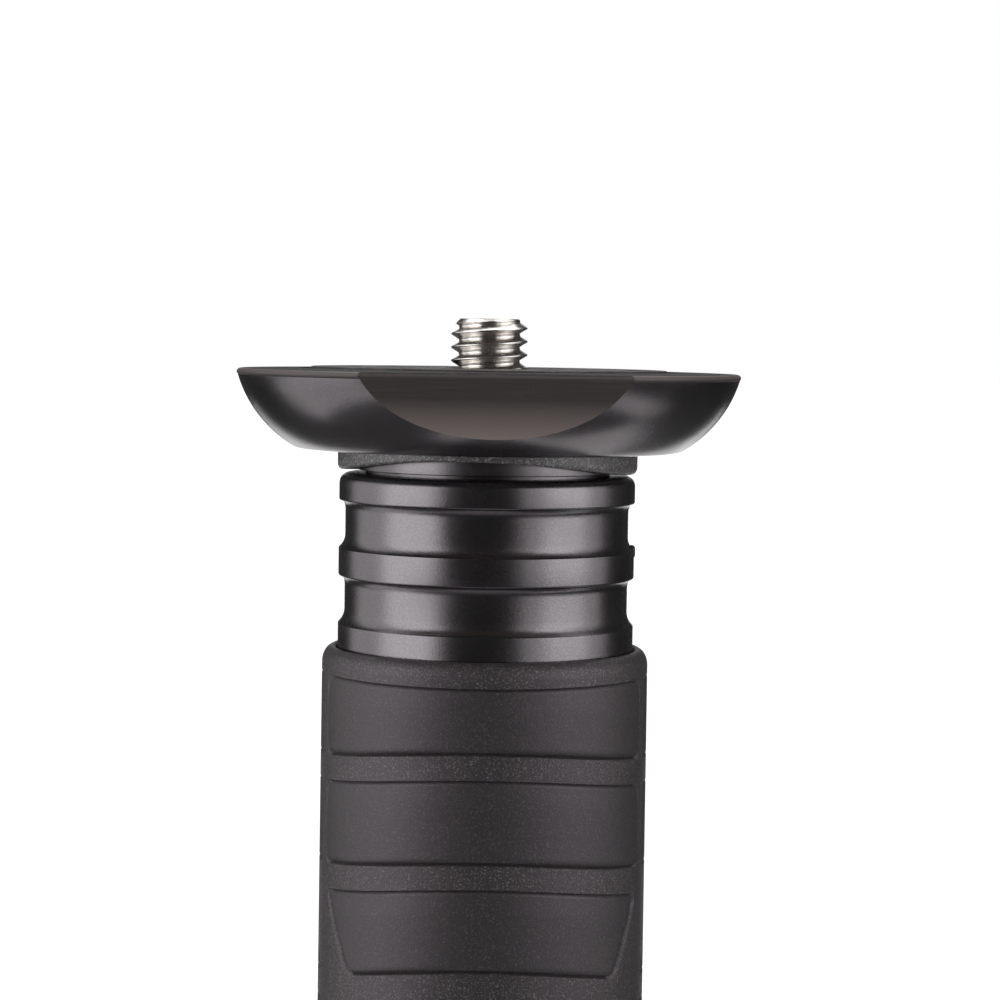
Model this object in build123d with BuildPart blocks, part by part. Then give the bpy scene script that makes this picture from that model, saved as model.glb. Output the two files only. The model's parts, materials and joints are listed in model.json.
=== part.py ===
from build123d import *
import os
from math import radians, sin

os.makedirs("parts", exist_ok=True)

# All lengths in millimetres. +Z is up, the origin is the middle of the foot's flat sole,
# and every height below is of the closed monopod.

# Clearances
running_play = 0.08  # radial, between pieces that slide or turn on each other
glue_gap = 0.02  # radial, between bonded or screwed pieces that stay put
free_gap = 0.35  # between pieces that pass each other without touching
overrun = 2.0  # how far a cutter runs past what it cuts
edge_break = 0.3  # chamfer on machined edges

# Height of the platform's rim above the floor, with the monopod closed
rim_height = 424.0

# Tubes
tube_count = 5
first_tube_diameter = 32.0
tube_wall = 1.2
tube_gap = 0.6  # radial, between one tube's outside and the next one's bore
tube_top_step = 2.0  # each tube's top lies this far below the top of the tube around it

# Camera screw, 3/8 inch with 16 threads to the inch above and 1/4 inch below
screw_diameter = 9.35  # a little under the nominal 9.525, as such threads are
screw_pitch = 1.5875
screw_rise = 6.2  # above the rim
screw_tip_cut = 1.1  # radial
screw_tip_length = 1.1
screw_thread_start = 1.98  # below the rim, where the groove passes the right side first
thread_depth_share = 0.6134  # of the pitch
thread_crest_share = 0.1
thread_root_share = 0.19
screw_seat_cut = 0.375  # radial, on the shank below the pad's top
screw_flange_radius = 6.5
screw_flange_thickness = 1.5
screw_tail_diameter = 6.35
screw_tail_length = 7.5
screw_hole_gap = 0.425  # radial, around the screw in the pad and around its tail in the spindle

# Platform
platform_radius = 30.0
platform_depth = 9.35
platform_turn = 2.05  # degrees, how far it stands turned from the front
rim_band = 0.6
rim_step = 0.08  # how far the rim's wall stands out over the bowl
rim_chamfer = 0.2
bowl_radius = 14.7
bowl_foot_width = 5.05  # from the ring out to the foot of the bowl's arc
flat_cut = 4.21  # how far the flats cut in from the rim
recess_rim_width = 7.4
recess_depth = 1.0
recess_lip_width = 2.3  # level part of the rim, outside the lip
recess_lip_rise = 0.15

# Pad
pad_margin = 1.4  # between the pad and the recess around it
pad_rise = 0.45  # above the rim
pad_edge = 0.2

# Wavy ring under the platform
ring_wall = 2.5
ring_high_edge = 0.85  # height of its wall at the front and back
ring_low_edge = 2.65  # and at the sides
ring_turn = -8.0  # degrees

# Spindle
neck_radius = 15.4
neck_height = 2.9
upper_spigot_radius = 8.5
upper_spigot_length = 4.2
lower_spigot_radius = 9.0
lower_spigot_length = 12.0

# Cap, its lengths in order from the top down
cap_wall = 1.68  # over the first tube
cap_groove_depth = 0.76
cap_groove_round = 0.6  # at the upper end of each groove
cap_round = 1.05
cap_upper_ring_length = 3.33
cap_upper_groove_length = 4.02
cap_upper_ramp_length = 1.6
cap_middle_ring_length = 3.35
cap_lower_groove_length = 3.95
cap_lower_ramp_length = 1.7
cap_lower_ring_length = 2.5
cap_skirt_length = 5.65  # inside the grip
cap_roof = 12.75  # from the cap's top down to the shoulder on which tube_1 ends

# Set screw, across the upper edge of the cap's middle ring
set_screw_radius = 1.0
set_screw_stand = 0.89  # how far its end stands out of the groove's floor
set_screw_socket = 0.5  # radius of its hexagon socket

# Grip
grip_length = 136.0
grip_wall = 3.6  # over the first tube
grip_edge_round = 1.7
groove_depth = 0.4
groove_width = 0.7
# Lines of the moulded pattern: depth below the grip's top at the front, and how much lower each
# line runs at the sides
rim_line, rim_bow = 3.15, 0.0
first_panel_end, first_panel_bow = 10.5, 2.13
first_band_end, first_band_bow = 13.6, 2.25
second_panel_end, second_panel_bow = 23.05, 2.4
second_band_end, second_band_bow = 26.1, 2.7
third_panel_end, third_panel_bow = 35.45, 3.2
palm_panel_start, palm_panel_bow = 38.7, 3.2
panel_edge_angle = 69.4  # degrees from the front
side_edge_angle = 73.2
third_panel_top_angle = 68.0
third_panel_foot_angle = 52.8
palm_panel_top_angle = 46.0
palm_panel_slope_length = 8.0

# Twist locks, lengths measured down from each lock's top
lock_flange_length = 4.5
lock_flange_wall = 3.3  # from the tube's outside
socket_depth = 12.0
socket_ledge = 1.0
cone_length = 6.0
ferrule_wall = 2.0
ferrule_tip = 0.6
cone_top_wall = 0.95  # radial room between the inner tube and the ferrule's cone
cone_foot_wall = 1.9
lock_thread_pitch = 1.5
unlock_turn_share = 1 / 3  # of a full turn
collar_gap = 0.5  # between the ferrule's flange and the collar
collar_wall = 1.5
collar_mouth_length = 0.75
collar_lip_length = 1.4
collar_lip_wall = 0.85
collet_head_gap = 0.5  # between the socket's ledge and the collet
collet_neck_length = 1.0  # from the ferrule's end to the collet's flange
collet_flange_length = 2.5
collet_flange_wall = 2.9
collet_tail_length = 1.5
collet_tail_wall = 1.2
collet_slit = 1.6
snap_ring_overlap = 0.4
snap_ring_length = 0.4
seal_length = 0.9
seal_seat_wall = 1.6
sleeve_wall = 1.3
sleeve_rib_count = 30
sleeve_rib_cut = 0.8  # radius of the flutes between the ribs
sleeve_flute_margin = 2.2

# Guide shims at the top of each inner tube
shim_length = 22.0
shim_top_inset = 0.5
shim_split = 2.0
shim_pin_radius = 1.4

# Foot, heights from the floor
foot_wall = 3.75  # around the bore that takes the foot holder, at its widest
foot_top_wall = 1.95
foot_sole_inset = 0.6
foot_top = 29.5
foot_waist = 7.0
foot_edge_round = 0.8
foot_travel = 7.5
sole_hole_gap = 1.5  # radial, around the spike
sole_thickness = 3.0
insert_wall = 4.0
insert_flange_width = 1.2
insert_flange_length = 2.0
insert_top = 12.8
foot_rib_count = 24
foot_rib_cut = 0.7
foot_rib_start = 4.0  # above the waist
foot_rib_end = 3.0  # below the top
washer_gap = 0.85  # radial, inside the foot's bore
washer_thickness = 1.0
holder_base = 3.2  # from its lower end to the end of the tube
holder_wall = 1.1
holder_flange_length = 2.6
holder_flange_wall = 2.6  # from the tube's outside
holder_plug_length = 21.0  # reach of the plug inside the tube
holder_socket_wall = 3.58  # of the plug around the spike
spike_key_depth = 0.7
spike_tip_height = 1.2
spike_tip_radius = 0.3
spike_cone_length = 8.5
spike_engagement = 20.0  # length held in the foot holder

# Worked out from the sizes above: radii
tube_radii = [
    first_tube_diameter / 2 - index * (tube_wall + tube_gap) for index in range(tube_count)
]
lock_count = tube_count - 1
screw_radius = screw_diameter / 2
flat_distance = platform_radius - flat_cut
recess_radius = platform_radius - recess_rim_width
pad_radius = recess_radius - pad_margin
ring_radius = neck_radius + ring_wall
cap_radius = first_tube_diameter / 2 + cap_wall
cap_groove_radius = cap_radius - cap_groove_depth
grip_radius = first_tube_diameter / 2 + grip_wall
last_radius = tube_radii[-1]
plug_radius = last_radius - tube_wall - glue_gap
spike_radius = plug_radius - holder_socket_wall
insert_radius = spike_radius + insert_wall
insert_flange_radius = insert_radius + insert_flange_width
foot_bore_radius = last_radius + holder_wall + free_gap
foot_radius = foot_bore_radius + foot_wall
foot_top_radius = foot_bore_radius + foot_top_wall
washer_radius = foot_bore_radius - washer_gap

# Lengths of a lock, measured down from its top
collar_start = lock_flange_length + collar_gap
ferrule_length = socket_depth + socket_ledge + cone_length
collet_start = socket_depth + socket_ledge + collet_head_gap
collet_flange_start = ferrule_length + collet_neck_length
collet_end = collet_flange_start + collet_flange_length + collet_tail_length
lock_length = collet_end + free_gap + seal_length + collar_mouth_length
unlock_drop = lock_thread_pitch * unlock_turn_share
lock_spacing = unlock_drop + 2 * free_gap

# Heights of the head
pad_top = rim_height + pad_rise
recess_floor = rim_height - recess_depth
underside = rim_height - platform_depth
cap_top = underside - neck_height
cap_upper_groove = cap_top - cap_upper_ring_length
cap_upper_ramp = cap_upper_groove - cap_upper_groove_length
cap_middle_ring = cap_upper_ramp - cap_upper_ramp_length
cap_lower_groove = cap_middle_ring - cap_middle_ring_length
cap_lower_ramp = cap_lower_groove - cap_lower_groove_length
cap_lower_ring = cap_lower_ramp - cap_lower_ramp_length
grip_top = cap_lower_ring - cap_lower_ring_length
cap_end = grip_top - cap_skirt_length
grip_end = grip_top - grip_length
set_screw_height = cap_middle_ring

# Heights of the foot, the locks and the tubes
holder_bottom = insert_top + running_play + washer_thickness + foot_travel + free_gap
holder_seat = holder_bottom + holder_base
holder_flange_start = foot_top + foot_travel + free_gap
holder_top = holder_flange_start + holder_flange_length
lock_tops = [
    holder_top + (lock_count - index) * (lock_spacing + lock_length)
    for index in range(lock_count)
]
tube_tops = [cap_top - cap_roof - index * tube_top_step for index in range(tube_count)]
tube_ends = [top - socket_depth for top in lock_tops] + [holder_seat]


# Platform and screw

with BuildPart() as camera_screw:
    flange_top = underside + upper_spigot_length + screw_flange_thickness
    screw_end = rim_height + screw_rise
    with BuildSketch(Plane.XZ):
        with BuildLine():
            Polyline(
                (0, flange_top - screw_flange_thickness - screw_tail_length),
                (screw_tail_diameter / 2, flange_top - screw_flange_thickness - screw_tail_length),
                (screw_tail_diameter / 2, flange_top - screw_flange_thickness),
                (screw_flange_radius, flange_top - screw_flange_thickness),
                (screw_flange_radius, flange_top),
                (screw_radius - screw_seat_cut, flange_top),
                (screw_radius - screw_seat_cut, pad_top),
                (screw_radius, pad_top),
                (screw_radius, screw_end - screw_tip_length),
                (screw_radius - screw_tip_cut, screw_end),
                (0, screw_end),
                close=True,
            )
        make_face()
    revolve(axis=Axis.Z)
    with BuildLine() as thread_path:
        Helix(
            screw_pitch,
            screw_thread_start + screw_rise + screw_pitch,
            screw_radius,
            center=(0, 0, rim_height - screw_thread_start),
        )
    with BuildSketch(
        Plane(origin=thread_path.line @ 0, x_dir=(1, 0, 0), z_dir=thread_path.line % 0)
    ) as thread_cut:
        depth = thread_depth_share * screw_pitch
        crest = (1 - thread_crest_share) * screw_pitch / 2
        root = thread_root_share * screw_pitch / 2
        outward = crest + (crest - root) * edge_break / depth
        with BuildLine():
            Polyline(
                (-depth, -root), (edge_break, -outward), (edge_break, outward), (-depth, root), close=True
            )
        make_face()
    sweep(path=thread_path.line, is_frenet=True, mode=Mode.SUBTRACT)
camera_screw.part.label = "camera_screw"
export_step(camera_screw.part, "parts/camera_screw.step")

with BuildPart() as platform_pad:
    with BuildSketch(Plane.XY.offset(recess_floor)):
        Circle(pad_radius)
        Circle(screw_radius + screw_hole_gap, mode=Mode.SUBTRACT)
    extrude(amount=pad_top - recess_floor)
    chamfer(platform_pad.edges().group_by(Axis.Z)[-1].sort_by(SortBy.RADIUS)[-1], pad_edge)
platform_pad.part.label = "platform_pad"
export_step(platform_pad.part, "parts/platform_pad.step")

with BuildPart() as platform:
    bowl_foot = (ring_radius + bowl_foot_width, underside)
    bowl_edge = (platform_radius - rim_step, rim_height - rim_band)
    with BuildSketch(Plane.XZ):
        with BuildLine():
            Line((0, underside), bowl_foot)
            RadiusArc(bowl_foot, bowl_edge, -bowl_radius)
            Polyline(
                bowl_edge,
                (platform_radius, rim_height - rim_band),
                (platform_radius, rim_height - rim_chamfer),
                (platform_radius - rim_chamfer, rim_height),
                (platform_radius - recess_lip_width, rim_height),
                (recess_radius, rim_height + recess_lip_rise),
                (recess_radius, recess_floor),
                (0, recess_floor),
                (0, underside),
            )
        make_face()
    revolve(axis=Axis.Z)
    # Seats of the spindle's spigot, the screw's flange and the screw
    with BuildSketch(Plane.XY.offset(underside)):
        Circle(upper_spigot_radius + glue_gap)
    extrude(amount=upper_spigot_length, mode=Mode.SUBTRACT)
    with BuildSketch(Plane.XY.offset(underside)):
        Circle(screw_flange_radius + glue_gap)
    extrude(amount=upper_spigot_length + screw_flange_thickness + glue_gap, mode=Mode.SUBTRACT)
    with BuildSketch(Plane.XY.offset(underside)):
        Circle(screw_radius + glue_gap)
    extrude(amount=platform_depth, mode=Mode.SUBTRACT)
    # A flat on the front and one on the back, each with the rim's chamfer along its top
    reach = platform_radius + overrun
    with BuildSketch(Plane.YZ.rotated((0, 0, platform_turn))):
        for side in (1, -1):
            with BuildLine():
                Polyline(
                    (side * flat_distance, underside - overrun),
                    (side * flat_distance, rim_height - rim_chamfer),
                    (side * (flat_distance - rim_chamfer - overrun), rim_height + overrun),
                    (side * reach, rim_height + overrun),
                    (side * reach, underside - overrun),
                    close=True,
                )
            make_face()
    extrude(amount=reach, both=True, mode=Mode.SUBTRACT)
platform.part.label = "platform"
export_step(platform.part, "parts/platform.step")

with BuildPart() as platform_ring:
    with BuildSketch(Plane.XY.offset(underside)):
        Circle(ring_radius)
        Circle(neck_radius + glue_gap, mode=Mode.SUBTRACT)
    extrude(amount=-ring_low_edge)
    # The lower edge waves twice round, which is a parabola seen from the front
    wave = ring_low_edge - ring_high_edge
    reach = ring_radius + overrun
    bow = wave * (reach / ring_radius) ** 2
    with BuildSketch(Plane.XZ.rotated((0, 0, ring_turn))):
        with BuildLine():
            Bezier(
                (-reach, underside - ring_high_edge - bow),
                (0, underside - ring_high_edge + bow),
                (reach, underside - ring_high_edge - bow),
            )
            Polyline(
                (reach, underside - ring_high_edge - bow),
                (reach, underside - ring_low_edge - bow - overrun),
                (-reach, underside - ring_low_edge - bow - overrun),
                (-reach, underside - ring_high_edge - bow),
            )
        make_face()
    extrude(amount=reach, both=True, mode=Mode.SUBTRACT)
platform_ring.part.label = "platform_ring"
export_step(platform_ring.part, "parts/platform_ring.step")

with BuildPart() as spindle:
    with BuildSketch(Plane.XY.offset(cap_top)):
        Circle(neck_radius)
    extrude(amount=neck_height)
    with BuildSketch(Plane.XY.offset(underside)):
        Circle(upper_spigot_radius)
    extrude(amount=upper_spigot_length)
    with BuildSketch(Plane.XY.offset(cap_top)):
        Circle(lower_spigot_radius)
    extrude(amount=-lower_spigot_length)
    with BuildSketch(Plane.XY.offset(underside + upper_spigot_length)):
        Circle(screw_tail_diameter / 2 + screw_hole_gap)
    extrude(amount=-(screw_tail_length + free_gap), mode=Mode.SUBTRACT)
spindle.part.label = "spindle"
export_step(spindle.part, "parts/spindle.step")


# Cap, set screw and grip

with BuildPart() as top_cap:
    bore = first_tube_diameter / 2 + glue_gap
    with BuildSketch(Plane.XZ):
        with BuildLine():
            Polyline(
                (lower_spigot_radius + glue_gap, cap_top),
                (cap_radius - cap_round, cap_top),
            )
            TangentArc(
                (cap_radius - cap_round, cap_top), (cap_radius, cap_top - cap_round), tangent=(1, 0)
            )
            Polyline(
                (cap_radius, cap_top - cap_round),
                (cap_radius, cap_upper_groove),
                (cap_groove_radius + cap_groove_round, cap_upper_groove),
            )
            TangentArc(
                (cap_groove_radius + cap_groove_round, cap_upper_groove),
                (cap_groove_radius, cap_upper_groove - cap_groove_round),
                tangent=(-1, 0),
            )
            Line(
                (cap_groove_radius, cap_upper_groove - cap_groove_round),
                (cap_groove_radius, cap_upper_ramp),
            )
            TangentArc(
                (cap_groove_radius, cap_upper_ramp),
                (cap_radius, cap_middle_ring),
                tangent=(0, -1),
            )
            Polyline(
                (cap_radius, cap_middle_ring),
                (cap_radius, cap_lower_groove),
                (cap_groove_radius + cap_groove_round, cap_lower_groove),
            )
            TangentArc(
                (cap_groove_radius + cap_groove_round, cap_lower_groove),
                (cap_groove_radius, cap_lower_groove - cap_groove_round),
                tangent=(-1, 0),
            )
            Line(
                (cap_groove_radius, cap_lower_groove - cap_groove_round),
                (cap_groove_radius, cap_lower_ramp),
            )
            TangentArc(
                (cap_groove_radius, cap_lower_ramp),
                (cap_radius, cap_lower_ring),
                tangent=(0, -1),
            )
            Polyline(
                (cap_radius, cap_lower_ring),
                (cap_radius, cap_end),
                (bore, cap_end),
                (bore, tube_tops[0]),
                (lower_spigot_radius + glue_gap, tube_tops[0]),
                (lower_spigot_radius + glue_gap, cap_top),
            )
        make_face()
    revolve(axis=Axis.Z)
    with BuildSketch(Plane.YZ):
        with Locations((0, set_screw_height)):
            Circle(set_screw_radius + glue_gap)
    extrude(amount=cap_radius + overrun, mode=Mode.SUBTRACT)
top_cap.part.label = "top_cap"
export_step(top_cap.part, "parts/top_cap.step")

with BuildPart() as cap_set_screw:
    with BuildSketch(Plane.YZ.offset(lower_spigot_radius + glue_gap)):
        with Locations((0, set_screw_height)):
            Circle(set_screw_radius)
    extrude(amount=cap_groove_radius + set_screw_stand - lower_spigot_radius - glue_gap)
    chamfer(cap_set_screw.edges().group_by(Axis.X)[-1], edge_break)
    with BuildSketch(Plane.YZ.offset(cap_groove_radius + set_screw_stand)):
        with Locations((0, set_screw_height)):
            RegularPolygon(set_screw_socket, 6)
    extrude(amount=-2 * set_screw_radius, mode=Mode.SUBTRACT)
cap_set_screw.part.label = "cap_set_screw"
export_step(cap_set_screw.part, "parts/cap_set_screw.step")


def drawn_lines():
    """The pattern's lines as (height at the front, height at the sides) of the upper half."""
    lines = [
        (rim_line, rim_bow),
        (first_panel_end, first_panel_bow),
        (first_band_end, first_band_bow),
        (second_panel_end, second_panel_bow),
        (second_band_end, second_band_bow),
        (third_panel_end, third_panel_bow),
        (palm_panel_start, palm_panel_bow),
    ]
    return [(grip_top - depth, grip_top - depth - bow) for depth, bow in lines]


def across(angle):
    """How far to the side a line at this angle from the front stands."""
    return grip_radius * sin(radians(angle))


def height_on(line, x):
    """Height of a pattern line at a distance to the side."""
    return line[0] + (line[1] - line[0]) * (x / grip_radius) ** 2


def mirrored(height, upper):
    """The height itself in the upper half, or its mirror image in the lower half."""
    return height if upper else grip_top + grip_end - height


# The grooves are drawn from the front and run through to the back
with BuildPart() as groove_pattern:
    with BuildSketch(Plane.XZ):
        lines = drawn_lines()
        reach = grip_radius + overrun
        half = groove_width / 2
        edge, side = across(panel_edge_angle), across(side_edge_angle)
        third_top, third_foot = across(third_panel_top_angle), across(third_panel_foot_angle)
        palm_top = across(palm_panel_top_angle)
        palm_shoulder = height_on(lines[6], palm_top) - palm_panel_slope_length
        uprights = ((lines[0], lines[1]), (lines[2], lines[3]))
        slopes = (
            (third_top, height_on(lines[4], third_top), third_foot, height_on(lines[5], third_foot)),
            (palm_top, height_on(lines[6], palm_top), edge, palm_shoulder),
        )
        for upper in (True, False):
            for line in lines:
                middle = mirrored(line[0], upper)
                ends = mirrored(height_on(line, reach), upper)
                control = 2 * middle - ends
                with BuildLine():
                    Bezier((-reach, ends + half), (0, control + half), (reach, ends + half))
                    Line((reach, ends + half), (reach, ends - half))
                    Bezier((reach, ends - half), (0, control - half), (-reach, ends - half))
                    Line((-reach, ends - half), (-reach, ends + half))
                make_face()
            # Upright edges of the first two panels and of the side panels
            for top, end in uprights:
                for x in (edge, side):
                    high = mirrored(height_on(top, x), upper)
                    low = mirrored(height_on(end, x), upper)
                    with Locations((x, (high + low) / 2), (-x, (high + low) / 2)):
                        Rectangle(half, abs(high - low))
            # Sloping edges of the third panel and of the palm panel
            for hand in (1, -1):
                for x_top, z_top, x_end, z_end in slopes:
                    with BuildLine():
                        Polyline(
                            (hand * (x_top - half), mirrored(z_top, upper)),
                            (hand * (x_top + half), mirrored(z_top, upper)),
                            (hand * (x_end + half), mirrored(z_end, upper)),
                            (hand * (x_end - half), mirrored(z_end, upper)),
                            close=True,
                        )
                    make_face()
        # Long edges of the palm panel
        grip_middle = (grip_top + grip_end) / 2
        with Locations((edge, grip_middle), (-edge, grip_middle)):
            Rectangle(half, 2 * (palm_shoulder - grip_middle))
    extrude(amount=reach, both=True)
    with BuildSketch(Plane.XY.offset(grip_end)):
        Circle(grip_radius - groove_depth)
    extrude(amount=grip_length, mode=Mode.SUBTRACT)

with BuildPart() as grip:
    with BuildSketch(Plane.XY.offset(grip_end)):
        Circle(grip_radius)
    extrude(amount=grip_length)
    fillet(grip.edges().filter_by(GeomType.CIRCLE), grip_edge_round)
    with BuildSketch(Plane.XY.offset(grip_end)):
        Circle(first_tube_diameter / 2 + glue_gap)
    extrude(amount=grip_length, mode=Mode.SUBTRACT)
    with BuildSketch(Plane.XY.offset(grip_top)):
        Circle(cap_radius + glue_gap)
    extrude(amount=-(cap_skirt_length + glue_gap), mode=Mode.SUBTRACT)
    add(groove_pattern.part, mode=Mode.SUBTRACT)
grip.part.label = "grip"
export_step(grip.part, "parts/grip.step")


# Tubes and the shims at their tops

for index in range(tube_count):
    radius, top, end = tube_radii[index], tube_tops[index], tube_ends[index]
    pin_height = top - shim_top_inset - shim_length / 2
    with BuildPart() as tube:
        with BuildSketch(Plane.XY.offset(end)):
            Circle(radius)
            Circle(radius - tube_wall, mode=Mode.SUBTRACT)
        extrude(amount=top - end)
        if index:
            with BuildSketch(Plane.XZ):
                with Locations((0, pin_height)):
                    Circle(shim_pin_radius + glue_gap)
            extrude(amount=radius + overrun, both=True, mode=Mode.SUBTRACT)
    tube.part.label = f"tube_{index + 1}"
    export_step(tube.part, f"parts/tube_{index + 1}.step")

    if index == 0:
        continue
    with BuildPart() as shims:
        inside = radius + glue_gap
        outside = radius + tube_gap - running_play
        with BuildSketch(Plane.XY.offset(top - shim_top_inset - shim_length)):
            Circle(outside)
            Circle(inside, mode=Mode.SUBTRACT)
        extrude(amount=shim_length)
        with BuildSketch(Plane.XZ):
            with Locations((0, pin_height)):
                Circle(shim_pin_radius)
        extrude(amount=(inside + outside) / 2, both=True)
        with BuildSketch(Plane.XY.offset(top)):
            Circle(radius - tube_wall)
            Rectangle(2 * outside, shim_split)
        extrude(amount=-shim_length - 2 * shim_top_inset, mode=Mode.SUBTRACT)
    shims.part.label = f"guide_shims_{index + 1}"
    export_step(shims.part, f"parts/guide_shims_{index + 1}.step")


# Twist locks, the first one at the lower end of tube_1

for index in range(lock_count):
    number = index + 1
    top = lock_tops[index]
    outer, inner = tube_radii[index], tube_radii[index + 1]
    thread = outer + ferrule_wall
    collar_outside = thread + running_play + collar_wall
    cone_top = inner + cone_top_wall
    cone_foot = inner + cone_foot_wall
    cone_start = top - socket_depth - socket_ledge
    ferrule_end = top - ferrule_length
    cone_slope = (cone_foot - cone_top) / (cone_start - ferrule_end)

    with BuildPart() as lock_ferrule:
        with BuildSketch(Plane.XZ):
            with BuildLine():
                Polyline(
                    (outer + glue_gap, top),
                    (outer + lock_flange_wall - edge_break, top),
                    (outer + lock_flange_wall, top - edge_break),
                    (outer + lock_flange_wall, top - lock_flange_length),
                    (thread, top - lock_flange_length),
                    (thread, ferrule_end + ferrule_tip),
                    (thread - ferrule_tip, ferrule_end),
                    (cone_foot, ferrule_end),
                    (cone_top, cone_start),
                    (inner + free_gap, cone_start),
                    (inner + free_gap, top - socket_depth),
                    (outer + glue_gap, top - socket_depth),
                    close=True,
                )
            make_face()
        revolve(axis=Axis.Z)
    lock_ferrule.part.label = f"lock_ferrule_{number}"
    export_step(lock_ferrule.part, f"parts/lock_ferrule_{number}.step")

    with BuildPart() as lock_collet:
        collet_top = top - collet_start
        flange_top = top - collet_flange_start
        collet_top_radius = cone_top + (cone_start - collet_top) * cone_slope - running_play
        with BuildSketch(Plane.XZ):
            with BuildLine():
                Polyline(
                    (inner + running_play, collet_top),
                    (collet_top_radius, collet_top),
                    (cone_foot - running_play, ferrule_end),
                    (cone_foot - running_play, flange_top),
                    (inner + collet_flange_wall, flange_top),
                    (inner + collet_flange_wall, flange_top - collet_flange_length),
                    (inner + collet_tail_wall, flange_top - collet_flange_length),
                    (inner + collet_tail_wall, top - collet_end),
                    (inner + running_play, top - collet_end),
                    close=True,
                )
            make_face()
        revolve(axis=Axis.Z)
        # One slit runs right through, and three stop at the flange
        with BuildSketch(Plane.XY.offset(collet_top)):
            with Locations((thread / 2, 0)):
                Rectangle(thread, collet_slit)
        extrude(amount=-collet_end, mode=Mode.SUBTRACT)
        with BuildSketch(Plane.XY.offset(collet_top)):
            Rectangle(collet_slit, 2 * thread)
            with Locations((-thread / 2, 0)):
                Rectangle(thread, collet_slit)
        extrude(amount=flange_top - collet_top, mode=Mode.SUBTRACT)
    lock_collet.part.label = f"lock_collet_{number}"
    export_step(lock_collet.part, f"parts/lock_collet_{number}.step")

    with BuildPart() as lock_collar:
        collar_top = top - collar_start
        collar_end = top - lock_length
        flange_seat = inner + collet_flange_wall + running_play
        snap_ring = inner + collet_flange_wall - snap_ring_overlap
        flange_floor = flange_top - collet_flange_length - running_play
        snap_top = flange_top + running_play + snap_ring_length
        seal_top = top - collet_end - free_gap
        lip = collar_outside + collar_lip_wall
        with BuildSketch(Plane.XZ):
            with BuildLine():
                Polyline(
                    (thread + running_play, collar_top),
                    (lip - edge_break, collar_top),
                    (lip, collar_top - edge_break),
                    (lip, collar_top - collar_lip_length),
                    (collar_outside, collar_top - collar_lip_length),
                    (collar_outside, collar_end + collar_lip_length),
                    (lip, collar_end + collar_lip_length),
                    (lip, collar_end + edge_break),
                    (lip - edge_break, collar_end),
                    (inner + free_gap, collar_end),
                    (inner + free_gap, seal_top - seal_length),
                    (inner + seal_seat_wall, seal_top - seal_length),
                    (inner + seal_seat_wall, flange_floor),
                    (flange_seat, flange_floor),
                    (flange_seat, flange_top + running_play),
                    (snap_ring, flange_top + running_play),
                    (snap_ring, snap_top),
                    (thread + running_play, snap_top),
                    close=True,
                )
            make_face()
        revolve(axis=Axis.Z)
    lock_collar.part.label = f"lock_collar_{number}"
    export_step(lock_collar.part, f"parts/lock_collar_{number}.step")

    with BuildPart() as dust_seal:
        with BuildSketch(Plane.XY.offset(seal_top)):
            Circle(inner + seal_seat_wall - glue_gap)
            Circle(inner + running_play, mode=Mode.SUBTRACT)
        extrude(amount=-(seal_length - glue_gap))
    dust_seal.part.label = f"dust_seal_{number}"
    export_step(dust_seal.part, f"parts/dust_seal_{number}.step")

    with BuildPart() as lock_sleeve:
        sleeve_top = collar_top - collar_lip_length - glue_gap
        sleeve_end = collar_end + collar_lip_length + glue_gap
        sleeve_radius = collar_outside + sleeve_wall
        with BuildSketch(Plane.XY.offset(sleeve_end)):
            Circle(sleeve_radius)
        extrude(amount=sleeve_top - sleeve_end)
        chamfer(lock_sleeve.edges().filter_by(GeomType.CIRCLE), sleeve_wall - collar_lip_wall)
        with BuildSketch(Plane.XY.offset(sleeve_end)):
            Circle(collar_outside + glue_gap)
        extrude(amount=sleeve_top - sleeve_end, mode=Mode.SUBTRACT)
        with BuildSketch(Plane.XY.offset(sleeve_end + sleeve_flute_margin)):
            with PolarLocations(sleeve_radius, sleeve_rib_count):
                Circle(sleeve_rib_cut)
        extrude(amount=sleeve_top - sleeve_end - 2 * sleeve_flute_margin, mode=Mode.SUBTRACT)
    lock_sleeve.part.label = f"lock_sleeve_{number}"
    export_step(lock_sleeve.part, f"parts/lock_sleeve_{number}.step")


# Foot

with BuildPart() as foot_holder:
    with BuildSketch(Plane.XZ):
        with BuildLine():
            Polyline(
                (0, holder_bottom),
                (last_radius + holder_wall - edge_break, holder_bottom),
                (last_radius + holder_wall, holder_bottom + edge_break),
                (last_radius + holder_wall, holder_flange_start),
                (last_radius + holder_flange_wall, holder_flange_start),
                (last_radius + holder_flange_wall, holder_top - edge_break),
                (last_radius + holder_flange_wall - edge_break, holder_top),
                (last_radius + glue_gap, holder_top),
                (last_radius + glue_gap, holder_seat),
                (plug_radius, holder_seat),
                (plug_radius, holder_seat + holder_plug_length),
                (0, holder_seat + holder_plug_length),
                close=True,
            )
        make_face()
    revolve(axis=Axis.Z)
    with BuildSketch(Plane.XY.offset(holder_bottom)):
        Circle(spike_radius + glue_gap)
    extrude(amount=spike_engagement + glue_gap, mode=Mode.SUBTRACT)
foot_holder.part.label = "foot_holder"
export_step(foot_holder.part, "parts/foot_holder.step")

spike_end = holder_bottom + spike_engagement

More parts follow.
